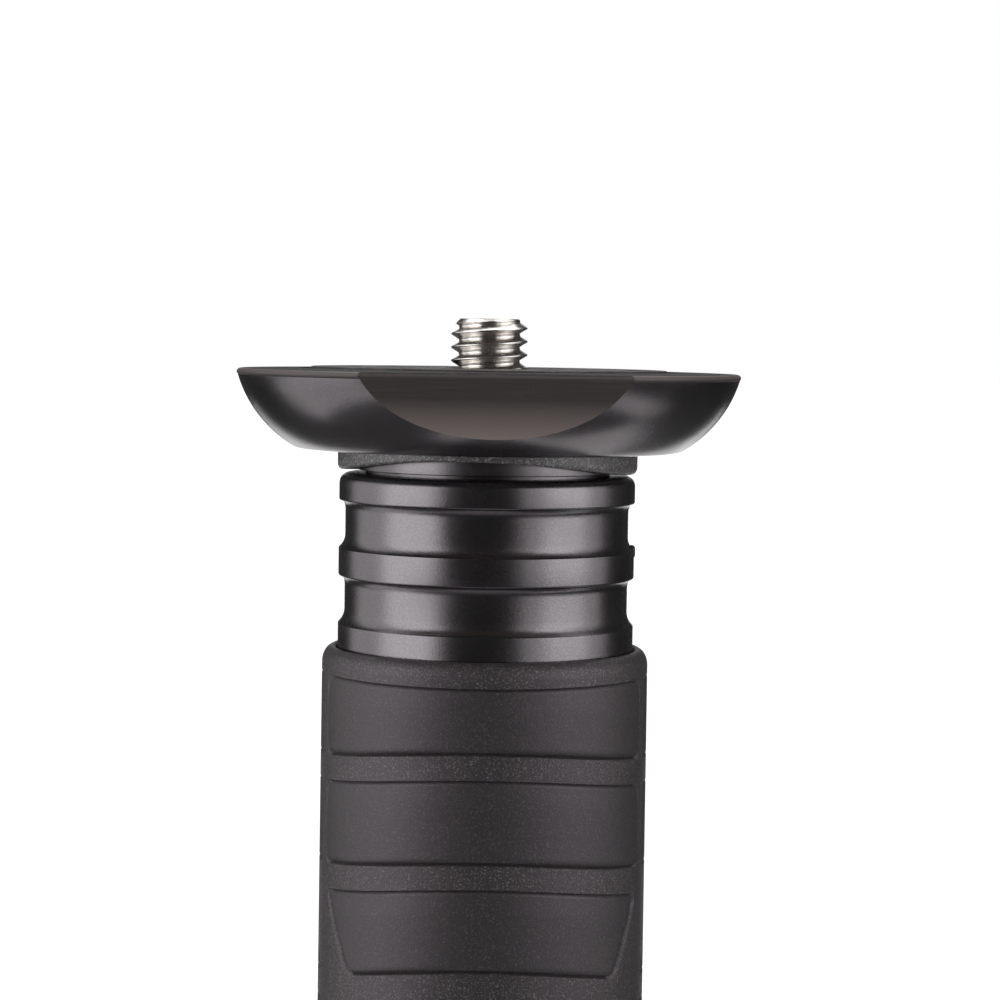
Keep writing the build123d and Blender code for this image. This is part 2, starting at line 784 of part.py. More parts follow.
with BuildPart() as spike:
    with BuildSketch(Plane.XZ):
        with BuildLine():
            Polyline(
                (0, spike_tip_height),
                (spike_tip_radius, spike_tip_height),
                (spike_radius, spike_tip_height + spike_cone_length),
                (spike_radius, spike_end),
                (0, spike_end),
                close=True,
            )
        make_face()
    revolve(axis=Axis.Z)
    # A flat along the rod keys the washer
    with BuildSketch(Plane.XY.offset(holder_bottom - free_gap)):
        with Locations((0, 2 * spike_radius - spike_key_depth)):
            Rectangle(2 * spike_radius, 2 * spike_radius)
    extrude(amount=insert_top - holder_bottom, mode=Mode.SUBTRACT)
spike.part.label = "spike"
export_step(spike.part, "parts/spike.step")

with BuildSketch(Plane.XY.offset(insert_top + running_play)) as keyed_hole:
    Circle(spike_radius + running_play)
    with Locations((0, 2 * spike_radius - spike_key_depth + running_play)):
        Rectangle(2 * washer_radius, 2 * spike_radius, mode=Mode.SUBTRACT)

with BuildPart() as foot_washer:
    with BuildSketch(Plane.XY.offset(insert_top + running_play)):
        Circle(washer_radius)
        add(keyed_hole.sketch, mode=Mode.SUBTRACT)
    extrude(amount=washer_thickness)
foot_washer.part.label = "foot_washer"
export_step(foot_washer.part, "parts/foot_washer.step")

with BuildPart() as foot_insert:
    with BuildSketch(Plane.XY.offset(sole_thickness)):
        Circle(insert_radius)
    extrude(amount=insert_top - sole_thickness)
    with BuildSketch(Plane.XY.offset(insert_top)):
        Circle(insert_flange_radius)
    extrude(amount=-insert_flange_length)
    with BuildSketch(Plane.XY.offset(sole_thickness)):
        Circle(spike_radius + running_play)
    extrude(amount=insert_top - sole_thickness, mode=Mode.SUBTRACT)
foot_insert.part.label = "foot_insert"
export_step(foot_insert.part, "parts/foot_insert.step")

with BuildPart() as rubber_foot:
    sole_hole_radius = spike_radius + sole_hole_gap
    with BuildSketch(Plane.XZ):
        with BuildLine():
            Polyline(
                (sole_hole_radius, 0),
                (foot_radius - foot_sole_inset, 0),
                (foot_radius, foot_edge_round),
                (foot_radius, foot_waist),
                (foot_top_radius, foot_top - foot_edge_round),
                (foot_top_radius - foot_edge_round, foot_top),
                (foot_bore_radius, foot_top),
                (foot_bore_radius, insert_top),
                (insert_flange_radius + glue_gap, insert_top),
                (insert_flange_radius + glue_gap, insert_top - insert_flange_length - glue_gap),
                (insert_radius + glue_gap, insert_top - insert_flange_length - glue_gap),
                (insert_radius + glue_gap, sole_thickness),
                (sole_hole_radius, sole_thickness),
                close=True,
            )
        make_face()
    revolve(axis=Axis.Z)
    with BuildSketch(Plane.XY.offset(foot_waist + foot_rib_start)):
        with PolarLocations(foot_top_radius + foot_rib_cut, foot_rib_count):
            Circle(foot_rib_cut)
    extrude(amount=foot_top - foot_rib_end - foot_waist - foot_rib_start, mode=Mode.SUBTRACT)
rubber_foot.part.label = "rubber_foot"
export_step(rubber_foot.part, "parts/rubber_foot.step")

# Travels of the joints
for index in range(lock_count):
    shim_end = tube_tops[index + 1] - shim_top_inset - shim_length
    travel = shim_end - (lock_tops[index] - socket_depth) - free_gap
    print(f"tube_{index + 2} slides {travel:.2f} mm in tube_{index + 1}")
print(f"each lock turns {unlock_turn_share:.3f} of a turn and drops {unlock_drop:.2f} mm")
print(f"the foot rises {foot_travel:.2f} mm")
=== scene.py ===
"""Looks of a camera monopod: a dish-shaped platform on a ringed cap, a moulded rubber grip, nested
carbon tubes with twist locks, and a rubber foot over a steel spike."""

import json
from math import cos, pi, radians, sin, tan

import bmesh
import bpy
import numpy as np
from mathutils import Matrix, Vector

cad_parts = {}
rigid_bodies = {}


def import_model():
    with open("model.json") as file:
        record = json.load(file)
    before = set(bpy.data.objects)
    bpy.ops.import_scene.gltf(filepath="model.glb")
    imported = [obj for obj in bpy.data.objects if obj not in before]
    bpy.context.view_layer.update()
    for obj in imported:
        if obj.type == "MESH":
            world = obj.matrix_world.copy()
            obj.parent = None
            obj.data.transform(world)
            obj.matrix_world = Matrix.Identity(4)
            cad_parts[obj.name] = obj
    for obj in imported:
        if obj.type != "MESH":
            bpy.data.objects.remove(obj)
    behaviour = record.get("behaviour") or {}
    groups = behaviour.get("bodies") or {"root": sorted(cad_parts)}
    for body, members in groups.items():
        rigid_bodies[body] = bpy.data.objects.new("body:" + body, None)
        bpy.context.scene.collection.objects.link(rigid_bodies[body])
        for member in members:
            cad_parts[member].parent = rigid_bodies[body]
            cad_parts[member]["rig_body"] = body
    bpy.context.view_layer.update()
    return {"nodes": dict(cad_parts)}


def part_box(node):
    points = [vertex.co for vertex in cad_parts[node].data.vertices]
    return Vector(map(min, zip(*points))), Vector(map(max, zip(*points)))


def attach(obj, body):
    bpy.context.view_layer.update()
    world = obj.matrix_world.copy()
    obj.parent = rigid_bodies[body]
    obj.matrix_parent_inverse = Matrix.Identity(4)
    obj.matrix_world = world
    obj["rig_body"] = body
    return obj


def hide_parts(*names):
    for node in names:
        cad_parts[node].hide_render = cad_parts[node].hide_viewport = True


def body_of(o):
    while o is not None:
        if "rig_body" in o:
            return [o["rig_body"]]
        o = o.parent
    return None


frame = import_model()

MM = 0.001
BOXES = {node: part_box(node) for node in frame["nodes"]}


# Sizes read from the frame

def low(node):
    """Height of a node's lower end."""
    return BOXES[node][0].z


def high(node):
    """Height of a node's upper end."""
    return BOXES[node][1].z


def wide(node):
    """Largest radius of a node about the Z axis."""
    return BOXES[node][1].x


# Meshes

def turned_about(centre, first, angle):
    """The point at an angle from the first one on the circle about the centre."""
    return (
        centre.x + first.x * cos(angle) - first.y * sin(angle),
        centre.y + first.x * sin(angle) + first.y * cos(angle),
    )


def rounded(corners, steps=5):
    """Points of a closed section of (radius, height, rounding) corners, each rounded by an arc."""
    most = 0.48  # share of a side that a rounding may take
    points = []
    for index, (r, z, size) in enumerate(corners):
        if size == 0:
            points.append((r, z))
            continue
        here = Vector((r, z))
        before = Vector(corners[index - 1][:2]) - here
        after = Vector(corners[(index + 1) % len(corners)][:2]) - here
        half = before.angle(after) / 2
        reach = min(size / tan(half), before.length * most, after.length * most)
        middle = (before.normalized() + after.normalized()).normalized()
        centre = here + middle * (reach / cos(half))
        first = here + before.normalized() * reach - centre
        turn = -first.angle_signed(here + after.normalized() * reach - centre)
        points += [turned_about(centre, first, turn * step / steps) for step in range(steps + 1)]
    return points


def arc(start, end, radius, steps):
    """Points of an arc that bulges to the right of the way from start to end, ends left out."""
    chord = Vector(end) - Vector(start)
    side = Vector((-chord.y, chord.x)).normalized()
    height = (radius ** 2 - chord.length_squared / 4) ** 0.5
    centre = (Vector(start) + Vector(end)) / 2 + side * height
    first = Vector(start) - centre
    turn = -first.angle_signed(Vector(end) - centre)
    return [turned_about(centre, first, turn * step / steps) for step in range(1, steps)]


def turned_rings(section, columns):
    """Rings of points, shaped (points of the section, columns, 3), turned about the Z axis."""
    around = np.linspace(0, 2 * pi, columns, endpoint=False)
    section = np.array(section, float)
    azimuth = np.broadcast_to(around, (len(section), columns))
    return rings_of(section[:, :1], azimuth, section[:, 1:])


def rings_of(radius, azimuth, height):
    """Rings of points from their radius, azimuth from +X and height."""
    radius, azimuth, height = np.broadcast_arrays(radius, azimuth, height)
    return np.stack([radius * np.cos(azimuth), radius * np.sin(azimuth), height], -1)


def mesh_of_rings(name, rings, loop=True, climb=0):
    """A mesh over rings of points that run once round the Z axis. With loop, the last ring joins
    the first one. With climb, the rings are one helix that climbs by so many rings in a turn.
    The UV map holds the length round the piece and along its section."""
    rows, columns = rings.shape[:2]
    spans = rows if loop else rows - 1 - climb
    i, j = np.meshgrid(np.arange(spans), np.arange(columns), indexing="ij")
    after = (j + 1) % columns
    shift = np.where(after == 0, climb, 0)
    corners = [i * columns + j, (i + shift) * columns + after]
    corners += [(i + 1 + shift) % rows * columns + after, (i + 1) % rows * columns + j]
    mesh = bpy.data.meshes.new(name)
    faces = np.stack(corners, -1).reshape(-1, 4)
    mesh.from_pydata(rings.reshape(-1, 3).tolist(), [], faces.tolist())
    steps = np.linalg.norm(np.diff(rings[:, 0], axis=0, append=rings[:1, 0]), axis=-1)
    along = np.concatenate([[0], np.cumsum(steps)])
    turn = 2 * pi * np.hypot(rings[..., 0], rings[..., 1]).max() / columns
    uv = np.empty((spans, columns, 4, 2))
    uv[..., 0] = (j[..., None] + np.array([0, 1, 1, 0])) * turn
    uv[..., 1] = along[i[..., None] + np.array([0, 0, 1, 1])]
    mesh.uv_layers.new(name="UVMap").data.foreach_set("uv", uv.ravel())
    return mesh


def tidy_mesh(mesh, cuts=()):
    """Cuts away what lies beyond each plane, closes the cuts with a face of the second material,
    merges points that coincide and turns all faces outward."""
    bm = bmesh.new()
    bm.from_mesh(mesh)
    for point, normal in cuts:
        everything = bm.verts[:] + bm.edges[:] + bm.faces[:]
        cut = bmesh.ops.bisect_plane(
            bm, geom=everything, dist=1e-9, plane_co=point, plane_no=normal, clear_outer=True
        )["geom_cut"]
        edges = [item for item in cut if isinstance(item, bmesh.types.BMEdge) and item.is_boundary]
        for face in bmesh.ops.edgeloop_fill(bm, edges=edges)["faces"]:
            face.material_index = 1
    bmesh.ops.remove_doubles(bm, verts=bm.verts, dist=1e-7)
    bmesh.ops.dissolve_degenerate(bm, edges=bm.edges, dist=1e-7)
    bmesh.ops.recalc_face_normals(bm, faces=bm.faces)
    bm.to_mesh(mesh)
    bm.free()


def stand_for(node, mesh, *materials, cuts=(), sharp=24):
    """The piece that stands for a node: tidy mesh, smooth faces, sharp edges, body and slot."""
    for material in materials:
        mesh.materials.append(material)
    tidy_mesh(mesh, cuts)
    mesh.shade_smooth()
    mesh.set_sharp_from_angle(angle=radians(sharp))
    piece = bpy.data.objects.new(mesh.name, mesh)
    bpy.context.scene.collection.objects.link(piece)
    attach(piece, body_of(frame["nodes"][node])[0])
    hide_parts(node)
    return piece


def turned(node, corners, *materials, columns=160, steps=4, cuts=(), sharp=24):
    """A turned piece that stands for a node, from the rounded corners of its closed section."""
    mesh = mesh_of_rings(node + "_look", turned_rings(rounded(corners, steps), columns))
    return stand_for(node, mesh, *materials, cuts=cuts, sharp=sharp)


def smooth(x):
    """Smooth step from 0 at 0 to 1 at 1, on arrays."""
    x = np.clip(x, 0, 1)
    return x * x * (3 - 2 * x)


# Materials

class Finish:
    """A material whose shader takes constants on its own sockets and detail from linked nodes."""

    def __init__(self, name, colour, roughness, **inputs):
        self.material = bpy.data.materials.new(name)
        self.material.use_nodes = True
        self.tree = self.material.node_tree
        self.shader = self.tree.nodes["Principled BSDF"]
        self.colour = colour
        self.shader.inputs["Base Color"].default_value = (*colour, 1)
        self.shader.inputs["Roughness"].default_value = roughness
        for key, value in inputs.items():
            self.shader.inputs[key.replace("_", " ")].default_value = value
        self.place = self.add("ShaderNodeTexCoord").outputs["Object"]
        self.normal = None

    def add(self, kind, links=(), **settings):
        """Adds a node, sets its properties and links sockets or values to its numbered inputs."""
        node = self.tree.nodes.new(kind)
        for key, value in settings.items():
            setattr(node, key, value)
        for index, value in dict(links).items():
            if isinstance(value, bpy.types.NodeSocket):
                self.tree.links.new(value, node.inputs[index])
            else:
                node.inputs[index].default_value = value
        return node

    def math(self, operation, *values):
        """A maths node's result."""
        return self.add("ShaderNodeMath", enumerate(values), operation=operation).outputs[0]

    def stretched(self, x, y, z):
        """The object's coordinates scaled along each axis."""
        links = {0: self.place, 1: (x, y, z)}
        return self.add("ShaderNodeVectorMath", links, operation="MULTIPLY").outputs[0]

    def noise(self, size, detail=2.0, vector=None):
        """Noise with features of a real size, or of size 1 in a stretched vector."""
        links = {"Vector": vector or self.place, "Scale": 1 / size, "Detail": detail}
        return self.add("ShaderNodeTexNoise", links).outputs["Fac"]

    def ranged(self, value, start, end, to_start=0.0, to_end=1.0):
        """The value mapped from one range to another, and kept inside it."""
        links = {0: value, 1: start, 2: end, 3: to_start, 4: to_end}
        return self.add("ShaderNodeMapRange", links).outputs[0]

    def tint(self, factor, colour):
        """Mixes another colour over the base colour."""
        base = self.shader.inputs["Base Color"]
        under = base.links[0].from_socket if base.links else (*self.colour, 1)
        node = self.add("ShaderNodeMix", data_type="RGBA")
        for index, value in ((0, factor), (6, under), (7, (*colour, 1))):
            if isinstance(value, bpy.types.NodeSocket):
                self.tree.links.new(value, node.inputs[index])
            else:
                node.inputs[index].default_value = value
        self.tree.links.new(node.outputs[2], base)

    def rough(self, value):
        """Takes the roughness from a node."""
        self.tree.links.new(value, self.shader.inputs["Roughness"])

    def bump(self, height, depth):
        """Adds relief of a real depth over the relief so far."""
        links = {"Height": height, "Distance": depth, "Strength": 1.0}
        if self.normal:
            links["Normal"] = self.normal
        self.normal = self.add("ShaderNodeBump", links).outputs[0]
        self.tree.links.new(self.normal, self.shader.inputs["Normal"])


def turned_steel(name):
    """Bright stainless steel with fine turning marks."""
    finish = Finish(name, (0.72, 0.69, 0.66), 0.2, Metallic=1.0)
    marks = finish.noise(1.0, 3.0, finish.stretched(300.0, 300.0, 14000.0))
    finish.bump(marks, 0.0025 * MM)
    finish.rough(finish.ranged(finish.noise(0.8 * MM), 0.3, 0.7, 0.17, 0.28))
    finish.tint(finish.ranged(finish.noise(1.5 * MM), 0.45, 0.75, 0.0, 0.25), (0.45, 0.42, 0.39))
    return finish.material


def anodised(name, roughness=0.26, grain=0.012 * MM):
    """Satin black anodised aluminium with a fine blasted grain and faint turning marks."""
    finish = Finish(name, (0.155, 0.1435, 0.152), roughness, Metallic=1.0)
    finish.bump(finish.noise(0.2 * MM, 3.0), grain)
    marks = finish.noise(1.0, 2.0, finish.stretched(60.0, 60.0, 9000.0))
    finish.bump(marks, 0.0007 * MM)
    cloud = finish.noise(6 * MM, 3.0)
    finish.rough(finish.ranged(cloud, 0.3, 0.7, roughness - 0.03, roughness + 0.04))
    finish.tint(finish.ranged(finish.noise(0.2 * MM), 0.4, 0.7, 0.0, 0.6), (0.2, 0.188, 0.196))
    return finish.material


def milled_flat():
    """The flats' brownish finish with fine level milling marks, a painted highlight along their
    upper edge and a painted reflection that lightens them towards the lower edge. The platform's
    bead has it too."""
    finish = Finish("milled_flat", (0.034, 0.028, 0.027), 0.45, Specular_IOR_Level=0.4)
    height = finish.add("ShaderNodeSeparateXYZ", {0: finish.place}).outputs[2]
    # painted reflection: the flat grows lighter towards its lower edge, standing in for light that
    # it reflects there
    finish.tint(finish.ranged(height, rim - 2.8 * MM, rim - 8.6 * MM), (0.225, 0.186, 0.173))
    # painted highlight: a lighter band along the upper edge of the flats and the bead, standing in
    # for the light line on the edge
    finish.tint(finish.ranged(height, rim - 0.6 * MM, rim - 0.15 * MM), (0.1, 0.085, 0.08))
    marks = finish.noise(1.0, 3.0, finish.stretched(120.0, 120.0, 11000.0))
    finish.bump(marks, 0.0015 * MM)
    finish.tint(finish.ranged(marks, 0.45, 0.75, 0.0, 0.2), (0.12, 0.1, 0.095))
    finish.bump(finish.noise(0.15 * MM, 2.0), 0.002 * MM)
    finish.tint(finish.ranged(finish.noise(0.25 * MM), 0.74, 0.82, 0.0, 0.4), (0.3, 0.28, 0.27))
    return finish.material


def matte_top():
    """The platform's dull upper side, with a fine grain and faint wear."""
    finish = Finish("matte_top", (0.05, 0.046, 0.048), 0.8, Specular_IOR_Level=0.15)
    finish.bump(finish.noise(0.2 * MM, 3.0), 0.01 * MM)
    wear = finish.noise(1.5 * MM, 4.0)
    finish.tint(finish.ranged(wear, 0.5, 0.75, 0.0, 0.5), (0.09, 0.083, 0.08))
    return finish.material


def sandy_plastic():
    """Matte moulded plastic with a coarse sandy grain."""
    finish = Finish("sandy_plastic", (0.05, 0.0465, 0.049), 0.4, Specular_IOR_Level=1.0)
    grain = finish.noise(0.24 * MM, 2.0)
    finish.bump(grain, 0.08 * MM)
    finish.tint(finish.ranged(grain, 0.5, 0.68, 0.0, 0.8), (0.34, 0.32, 0.33))
    return finish.material


def pad_rubber():
    """Thin matte rubber with a dimpled top."""
    finish = Finish("pad_rubber", (0.045, 0.04, 0.039), 0.6, Specular_IOR_Level=0.4)
    finish.rough(finish.ranged(finish.noise(3 * MM, 3.0), 0.4, 0.6, 0.45, 0.75))
    cells = finish.add("ShaderNodeTexVoronoi", {"Vector": finish.place, "Scale": 1 / (0.7 * MM)})
    finish.bump(finish.ranged(cells.outputs["Distance"], 0.0, 0.6), 0.06 * MM)
    finish.bump(finish.noise(0.15 * MM, 2.0), 0.01 * MM)
    wear = finish.noise(2 * MM, 4.0)
    finish.tint(finish.ranged(wear, 0.45, 0.75, 0.0, 0.5), (0.09, 0.082, 0.078))
    return finish.material


def soft_rubber(name, colour=(0.019, 0.0172, 0.0183), band=None):
    """Satin rubber with a fine grain, mottling and light specks, all stronger where band is 1."""
    tint = (1.0, 0.9, 0.98, 1.0)
    finish = Finish(name, colour, 0.5, Specular_IOR_Level=0.72, Specular_Tint=tint)
    finish.bump(finish.noise(0.3 * MM, 3.0), 0.02 * MM)
    finish.bump(finish.noise(0.17 * MM, 1.0), 0.014 * MM)
    specks = finish.ranged(finish.noise(0.19 * MM, 1.0), 0.54, 0.74, 0.0, 0.7)
    mottling = finish.ranged(finish.noise(4 * MM, 5.0), 0.4, 0.7)
    if band:
        on_band = finish.add("ShaderNodeAttribute", attribute_name=band).outputs["Fac"]
        more = finish.ranged(on_band, 0.0, 1.0, 0.4, 1.0)
        specks = finish.math("MULTIPLY", specks, more)
        mottling = finish.math("MULTIPLY", mottling, more)
    finish.tint(finish.math("MULTIPLY", mottling, 0.5), tuple(c * 1.5 for c in colour))
    finish.tint(specks, (0.16, 0.15, 0.153))
    return finish.material


def carbon(name, radius):
    """Carbon fibre in a two by two twill under a satin clear coat."""
    finish = Finish(
        name, (0.016, 0.016, 0.018), 0.38, Metallic=0.35, Coat_Weight=0.8, Coat_Roughness=0.12
    )
    tows = 4 * round(2 * pi * radius / (4 * 2.0 * MM))
    tow = 2 * pi * radius / tows
    split = finish.add("ShaderNodeSeparateXYZ", {0: finish.add("ShaderNodeTexCoord").outputs["UV"]})
    across, along = (finish.math("DIVIDE", split.outputs[axis], tow) for axis in (0, 1))
    step = finish.math("SUBTRACT", finish.math("FLOOR", across), finish.math("FLOOR", along))
    warp = finish.math("LESS_THAN", finish.math("FLOORED_MODULO", step, 4.0), 1.5)
    bulges = [
        finish.math("SINE", finish.math("MULTIPLY", finish.math("FRACT", value), pi))
        for value in (across, along)
    ]
    over = finish.add("ShaderNodeMix", {0: warp, 2: bulges[1], 3: bulges[0]}).outputs[0]
    finish.bump(over, 0.03 * MM)
    # painted sheen: warp tows are coloured lighter than weft tows, standing in for the fibres'
    # direction-dependent reflection
    finish.tint(warp, (0.05, 0.05, 0.054))
    fibres = finish.noise(1.0, 2.0, finish.stretched(6000.0, 6000.0, 500.0))
    finish.tint(finish.ranged(fibres, 0.45, 0.8, 0.0, 0.4), (0.09, 0.09, 0.095))
    return finish.material


def nylon(name):
    """Moulded nylon with a soft mottling."""
    finish = Finish(name, (0.11, 0.11, 0.115), 0.5)
    finish.bump(finish.noise(0.4 * MM, 3.0), 0.01 * MM)
    finish.tint(finish.ranged(finish.noise(3 * MM, 3.0), 0.4, 0.7, 0.0, 0.5), (0.16, 0.16, 0.165))
    return finish.material


def turned_brass():
    """Brass with turning marks and a slight tarnish."""
    finish = Finish("turned_brass", (0.75, 0.60, 0.32), 0.3, Metallic=1.0)
    finish.bump(finish.noise(1.0, 3.0, finish.stretched(200.0, 200.0, 12000.0)), 0.005 * MM)
    finish.tint(finish.ranged(finish.noise(2 * MM, 4.0), 0.45, 0.75, 0.0, 0.6), (0.42, 0.31, 0.16))
    return finish.material


def black_oxide():
    """Blackened steel."""
    finish = Finish("black_oxide", (0.05, 0.05, 0.055), 0.35, Metallic=0.8)
    finish.bump(finish.noise(0.15 * MM, 3.0), 0.003 * MM)
    finish.tint(finish.ranged(finish.noise(1 * MM, 4.0), 0.55, 0.8, 0.0, 0.6), (0.12, 0.115, 0.11))
    return finish.material


# Heights of the head

screw_rise = 6.2 * MM  # above the rim
rim = high("camera_screw") - screw_rise
underside = low("platform")
cap_top = high("top_cap")
grip_top = high("grip")

STEEL = turned_steel("turned_steel")
BLACK = anodised("black_anodised")
FLAT = milled_flat()
RUBBER = soft_rubber("ribbed_rubber")
BLACK_STEEL = black_oxide()


# Camera screw

def camera_screw():
    """The stud with its coarse thread, flange and tail."""
    radius = 4.56 * MM
    pitch = 1.5875 * MM
    groove_drop = 1.98 * MM  # of a groove's middle on the +X side below the rim
    depth = 0.58 * pitch
    crest_share, root_share = 0.45, 0.095  # of the pitch, from the groove's middle to each edge
    root_round = 0.12
    tip_radius, tip_slope = 3.5 * MM, 1.0
    shank_radius, shank_top = 4.3 * MM, rim - 2.2 * MM
    flange_radius, flange_top, flange_length = wide("camera_screw"), underside + 5.7 * MM, 1.5 * MM
    tail_radius = 3.175 * MM
    top = high("camera_screw")

    per_turn, columns = 30, 120
    turns = int((top - shank_top) / pitch) + 4
    phase = np.arange(per_turn * turns)[:, None] / per_turn
    azimuth = np.arange(columns)[None, :] * 2 * pi / columns
    height = rim - groove_drop - pitch + (phase + azimuth / (2 * pi)) * pitch
    off = np.abs((phase + 0.5) % 1 - 0.5)
    flank = np.clip((crest_share - off) / (crest_share - root_share), 0, 1 + root_round)
    flank -= np.clip(flank - (1 - root_round), 0, None) ** 2 / (4 * root_round)
    thread = radius - depth * flank
    thread = np.minimum(thread, tip_radius + np.clip(top - height, 0, None) * tip_slope)
    mesh = mesh_of_rings("camera_screw_look", rings_of(thread, azimuth, height), False, per_turn)
    cuts = (((0, 0, top), (0, 0, 1)), ((0, 0, shank_top), (0, 0, -1)))
    piece = stand_for("camera_screw", mesh, STEEL, STEEL, cuts=cuts, sharp=40)

    section = rounded([
        (0, shank_top, 0),
        (shank_radius, shank_top, 0),
        (shank_radius, flange_top, 0),
        (flange_radius, flange_top, 0.1 * MM),
        (flange_radius, flange_top - flange_length, 0.1 * MM),
        (tail_radius, flange_top - flange_length, 0),
        (tail_radius, low("camera_screw"), 0.4 * MM),
        (0, low("camera_screw"), 0),
    ])
    shank = mesh_of_rings("camera_screw_shank", turned_rings(section, 64), False)
    bm = bmesh.new()
    bm.from_mesh(shank)
    bmesh.ops.remove_doubles(bm, verts=bm.verts, dist=1e-7)
    bm.from_mesh(piece.data)
    bmesh.ops.recalc_face_normals(bm, faces=bm.faces)
    bm.to_mesh(piece.data)
    bm.free()


# Platform, pad, wavy ring and neck

def platform():
    """The dish with a flat on its front and back."""
    radius = wide("platform")
    bead, bead_foot = 0.42 * MM, (radius - 0.15 * MM, rim - 0.74 * MM)
    bead_top = (radius - 0.41 * MM, rim)
    bowl_top = (radius - 0.13 * MM, rim - 0.76 * MM)
    bowl_foot = (22.95 * MM, underside)
    spigot, seat, hole = 8.52 * MM, 6.52 * MM, 4.695 * MM
    spigot_top, seat_top = underside + 4.2 * MM, underside + 5.72 * MM
    floor, lip = rim - 1.0 * MM, rim + 0.15 * MM
    recess, lip_foot = 22.6 * MM, 27.7 * MM
    bowl_round, bowl_steps, bead_steps = 14.7 * MM, 28, 9
    corners = [
        (hole, floor, 0),
        (hole, seat_top, 0),
        (seat, seat_top, 0),
        (seat, spigot_top, 0),
        (spigot, spigot_top, 0),
        (spigot, underside, 0.1 * MM),
        (*bowl_foot, 2.0 * MM),  # this rounding takes the place of the arc's first points
        *[(r, z, 0) for r, z in arc(bowl_foot, bowl_top, bowl_round, bowl_steps)[2:]],
        (*bowl_top, 0),
        (*bead_foot, 0),
        *[(r, z, 0) for r, z in arc(bead_foot, bead_top, bead, bead_steps)],
        (*bead_top, 0),
        (lip_foot, rim, 0),
        (recess, lip, 0.06 * MM),
        (recess, floor, 0),
    ]
    turn, distance, edge = radians(2.05), 25.79 * MM, 0.2 * MM  # of the flats
    cuts = []
    for side in (-1, 1):
        out = Vector((-sin(turn) * side, cos(turn) * side, 0))
        cuts.append((out * distance, out))
        up = Vector((0, 0, 1))
        cuts.append((out * (distance - edge) + up * rim, out + up))
    bowl = anodised("bowl_anodised", 0.24, 0.007 * MM)
    piece = turned("platform", corners, bowl, FLAT, matte_top(), columns=320, cuts=cuts, sharp=18)
    for face in piece.data.polygons:
        if face.center.xy.length < bead_top[0] and face.center.z > floor - 0.01 * MM:
            face.material_index = 2
        elif face.center.z > bead_foot[1]:
            face.material_index = 1


def platform_pad():
    """The thin pad in the platform's recess."""
    outer, hole = wide("platform_pad"), 5.1 * MM
    top, floor = high("platform_pad") - 0.13 * MM, low("platform_pad")
    turned("platform_pad", [
        (hole, floor, 0),
        (outer, floor, 0),
        (outer, top, 0.12 * MM),
        (hole, top, 0.1 * MM),
    ], pad_rubber(), columns=192)


def platform_ring():
    """The ring whose lower edge waves twice round."""
    outer, inner = wide("platform_ring"), 15.42 * MM
    middle, wave, turn = underside - 1.75 * MM, 0.9 * MM, radians(-8)
    edge = 0.55 * MM
    rings = turned_rings(rounded([
        (inner, underside, 0),
        (inner, middle, 0),
        (outer, middle, edge),
        (outer, underside, 0),
    ]), 240)
    azimuth = np.arctan2(rings[..., 1], rings[..., 0])
    share = (underside - rings[..., 2]) / (underside - middle)
    rings[..., 2] -= share * wave * np.cos(2 * (azimuth - turn))
    mesh = mesh_of_rings("platform_ring_look", rings)
    stand_for("platform_ring", mesh, sandy_plastic())


def spindle():
    """The neck and its two spigots."""
    neck, upper, lower, bore = wide("spindle"), 8.5 * MM, 9.0 * MM, 3.6 * MM
    floor = high("spindle") - 7.85 * MM
    undercut, undercut_top = neck - 0.8 * MM, cap_top + 0.35 * MM
    turned("spindle", [
        (bore, high("spindle"), 0.1 * MM),
        (bore, floor, 0),
        (0, floor, 0),
        (0, low("spindle"), 0),
        (lower, low("spindle"), 0.3 * MM),
        (lower, cap_top, 0),
        (undercut, cap_top, 0),
        (undercut, undercut_top, 0),
        (neck, undercut_top, 0.1 * MM),
        (neck, underside, 0.05 * MM),
        (upper, underside, 0),
        (upper, high("spindle"), 0.2 * MM),
    ], anodised("neck_anodised", 0.3, 0.016 * MM))


# Cap, set screw and grip

def top_cap():
    """The cap with three rings and two grooves."""
    outer, bore, spigot = wide("top_cap"), 16.02 * MM, 9.02 * MM
    depth, edge, tiny = 0.76 * MM, 0.25 * MM, 0.08 * MM
    steps = 6  # of the grooves' fillets
    hollow_width, hollow_height = depth - edge, 1.1 * MM
    groove = outer - depth
    shoulder = high("tube_1")
    quarter = [pi / 2 * k / steps for k in range(steps + 1)]
    corners = [(spigot, cap_top, 0.2 * MM), (outer, cap_top, 1.22 * MM)]
    for ring_end, ramp_start, ramp_end in (
        (3.33 * MM, 7.35 * MM, 8.95 * MM),
        (12.3 * MM, 16.25 * MM, 17.95 * MM),
    ):
        ring_end, ramp_start, ramp_end = (cap_top - z for z in (ring_end, ramp_start, ramp_end))
        bend = (depth ** 2 + (ramp_start - ramp_end) ** 2) / (2 * depth)
        points = [
            (outer - edge * (1 - cos(t)), ring_end + edge * (1 - sin(t))) for t in quarter[:-1]
        ]
        points += [
            (groove + hollow_width * (1 - sin(t)), ring_end - hollow_height * (1 - cos(t)))
            for t in quarter
        ]
        points += [(groove, ramp_start), *arc((groove, ramp_start), (outer, ramp_end), bend, 10)]
        corners += [(r, z, 0) for r, z in points] + [(outer, ramp_end, tiny)]
    corners += [
        (outer, low("top_cap"), tiny),
        (bore, low("top_cap"), 0),
        (bore, shoulder, 0),
        (spigot, shoulder, 0),
    ]
    turned("top_cap", corners, BLACK, columns=256, steps=steps)


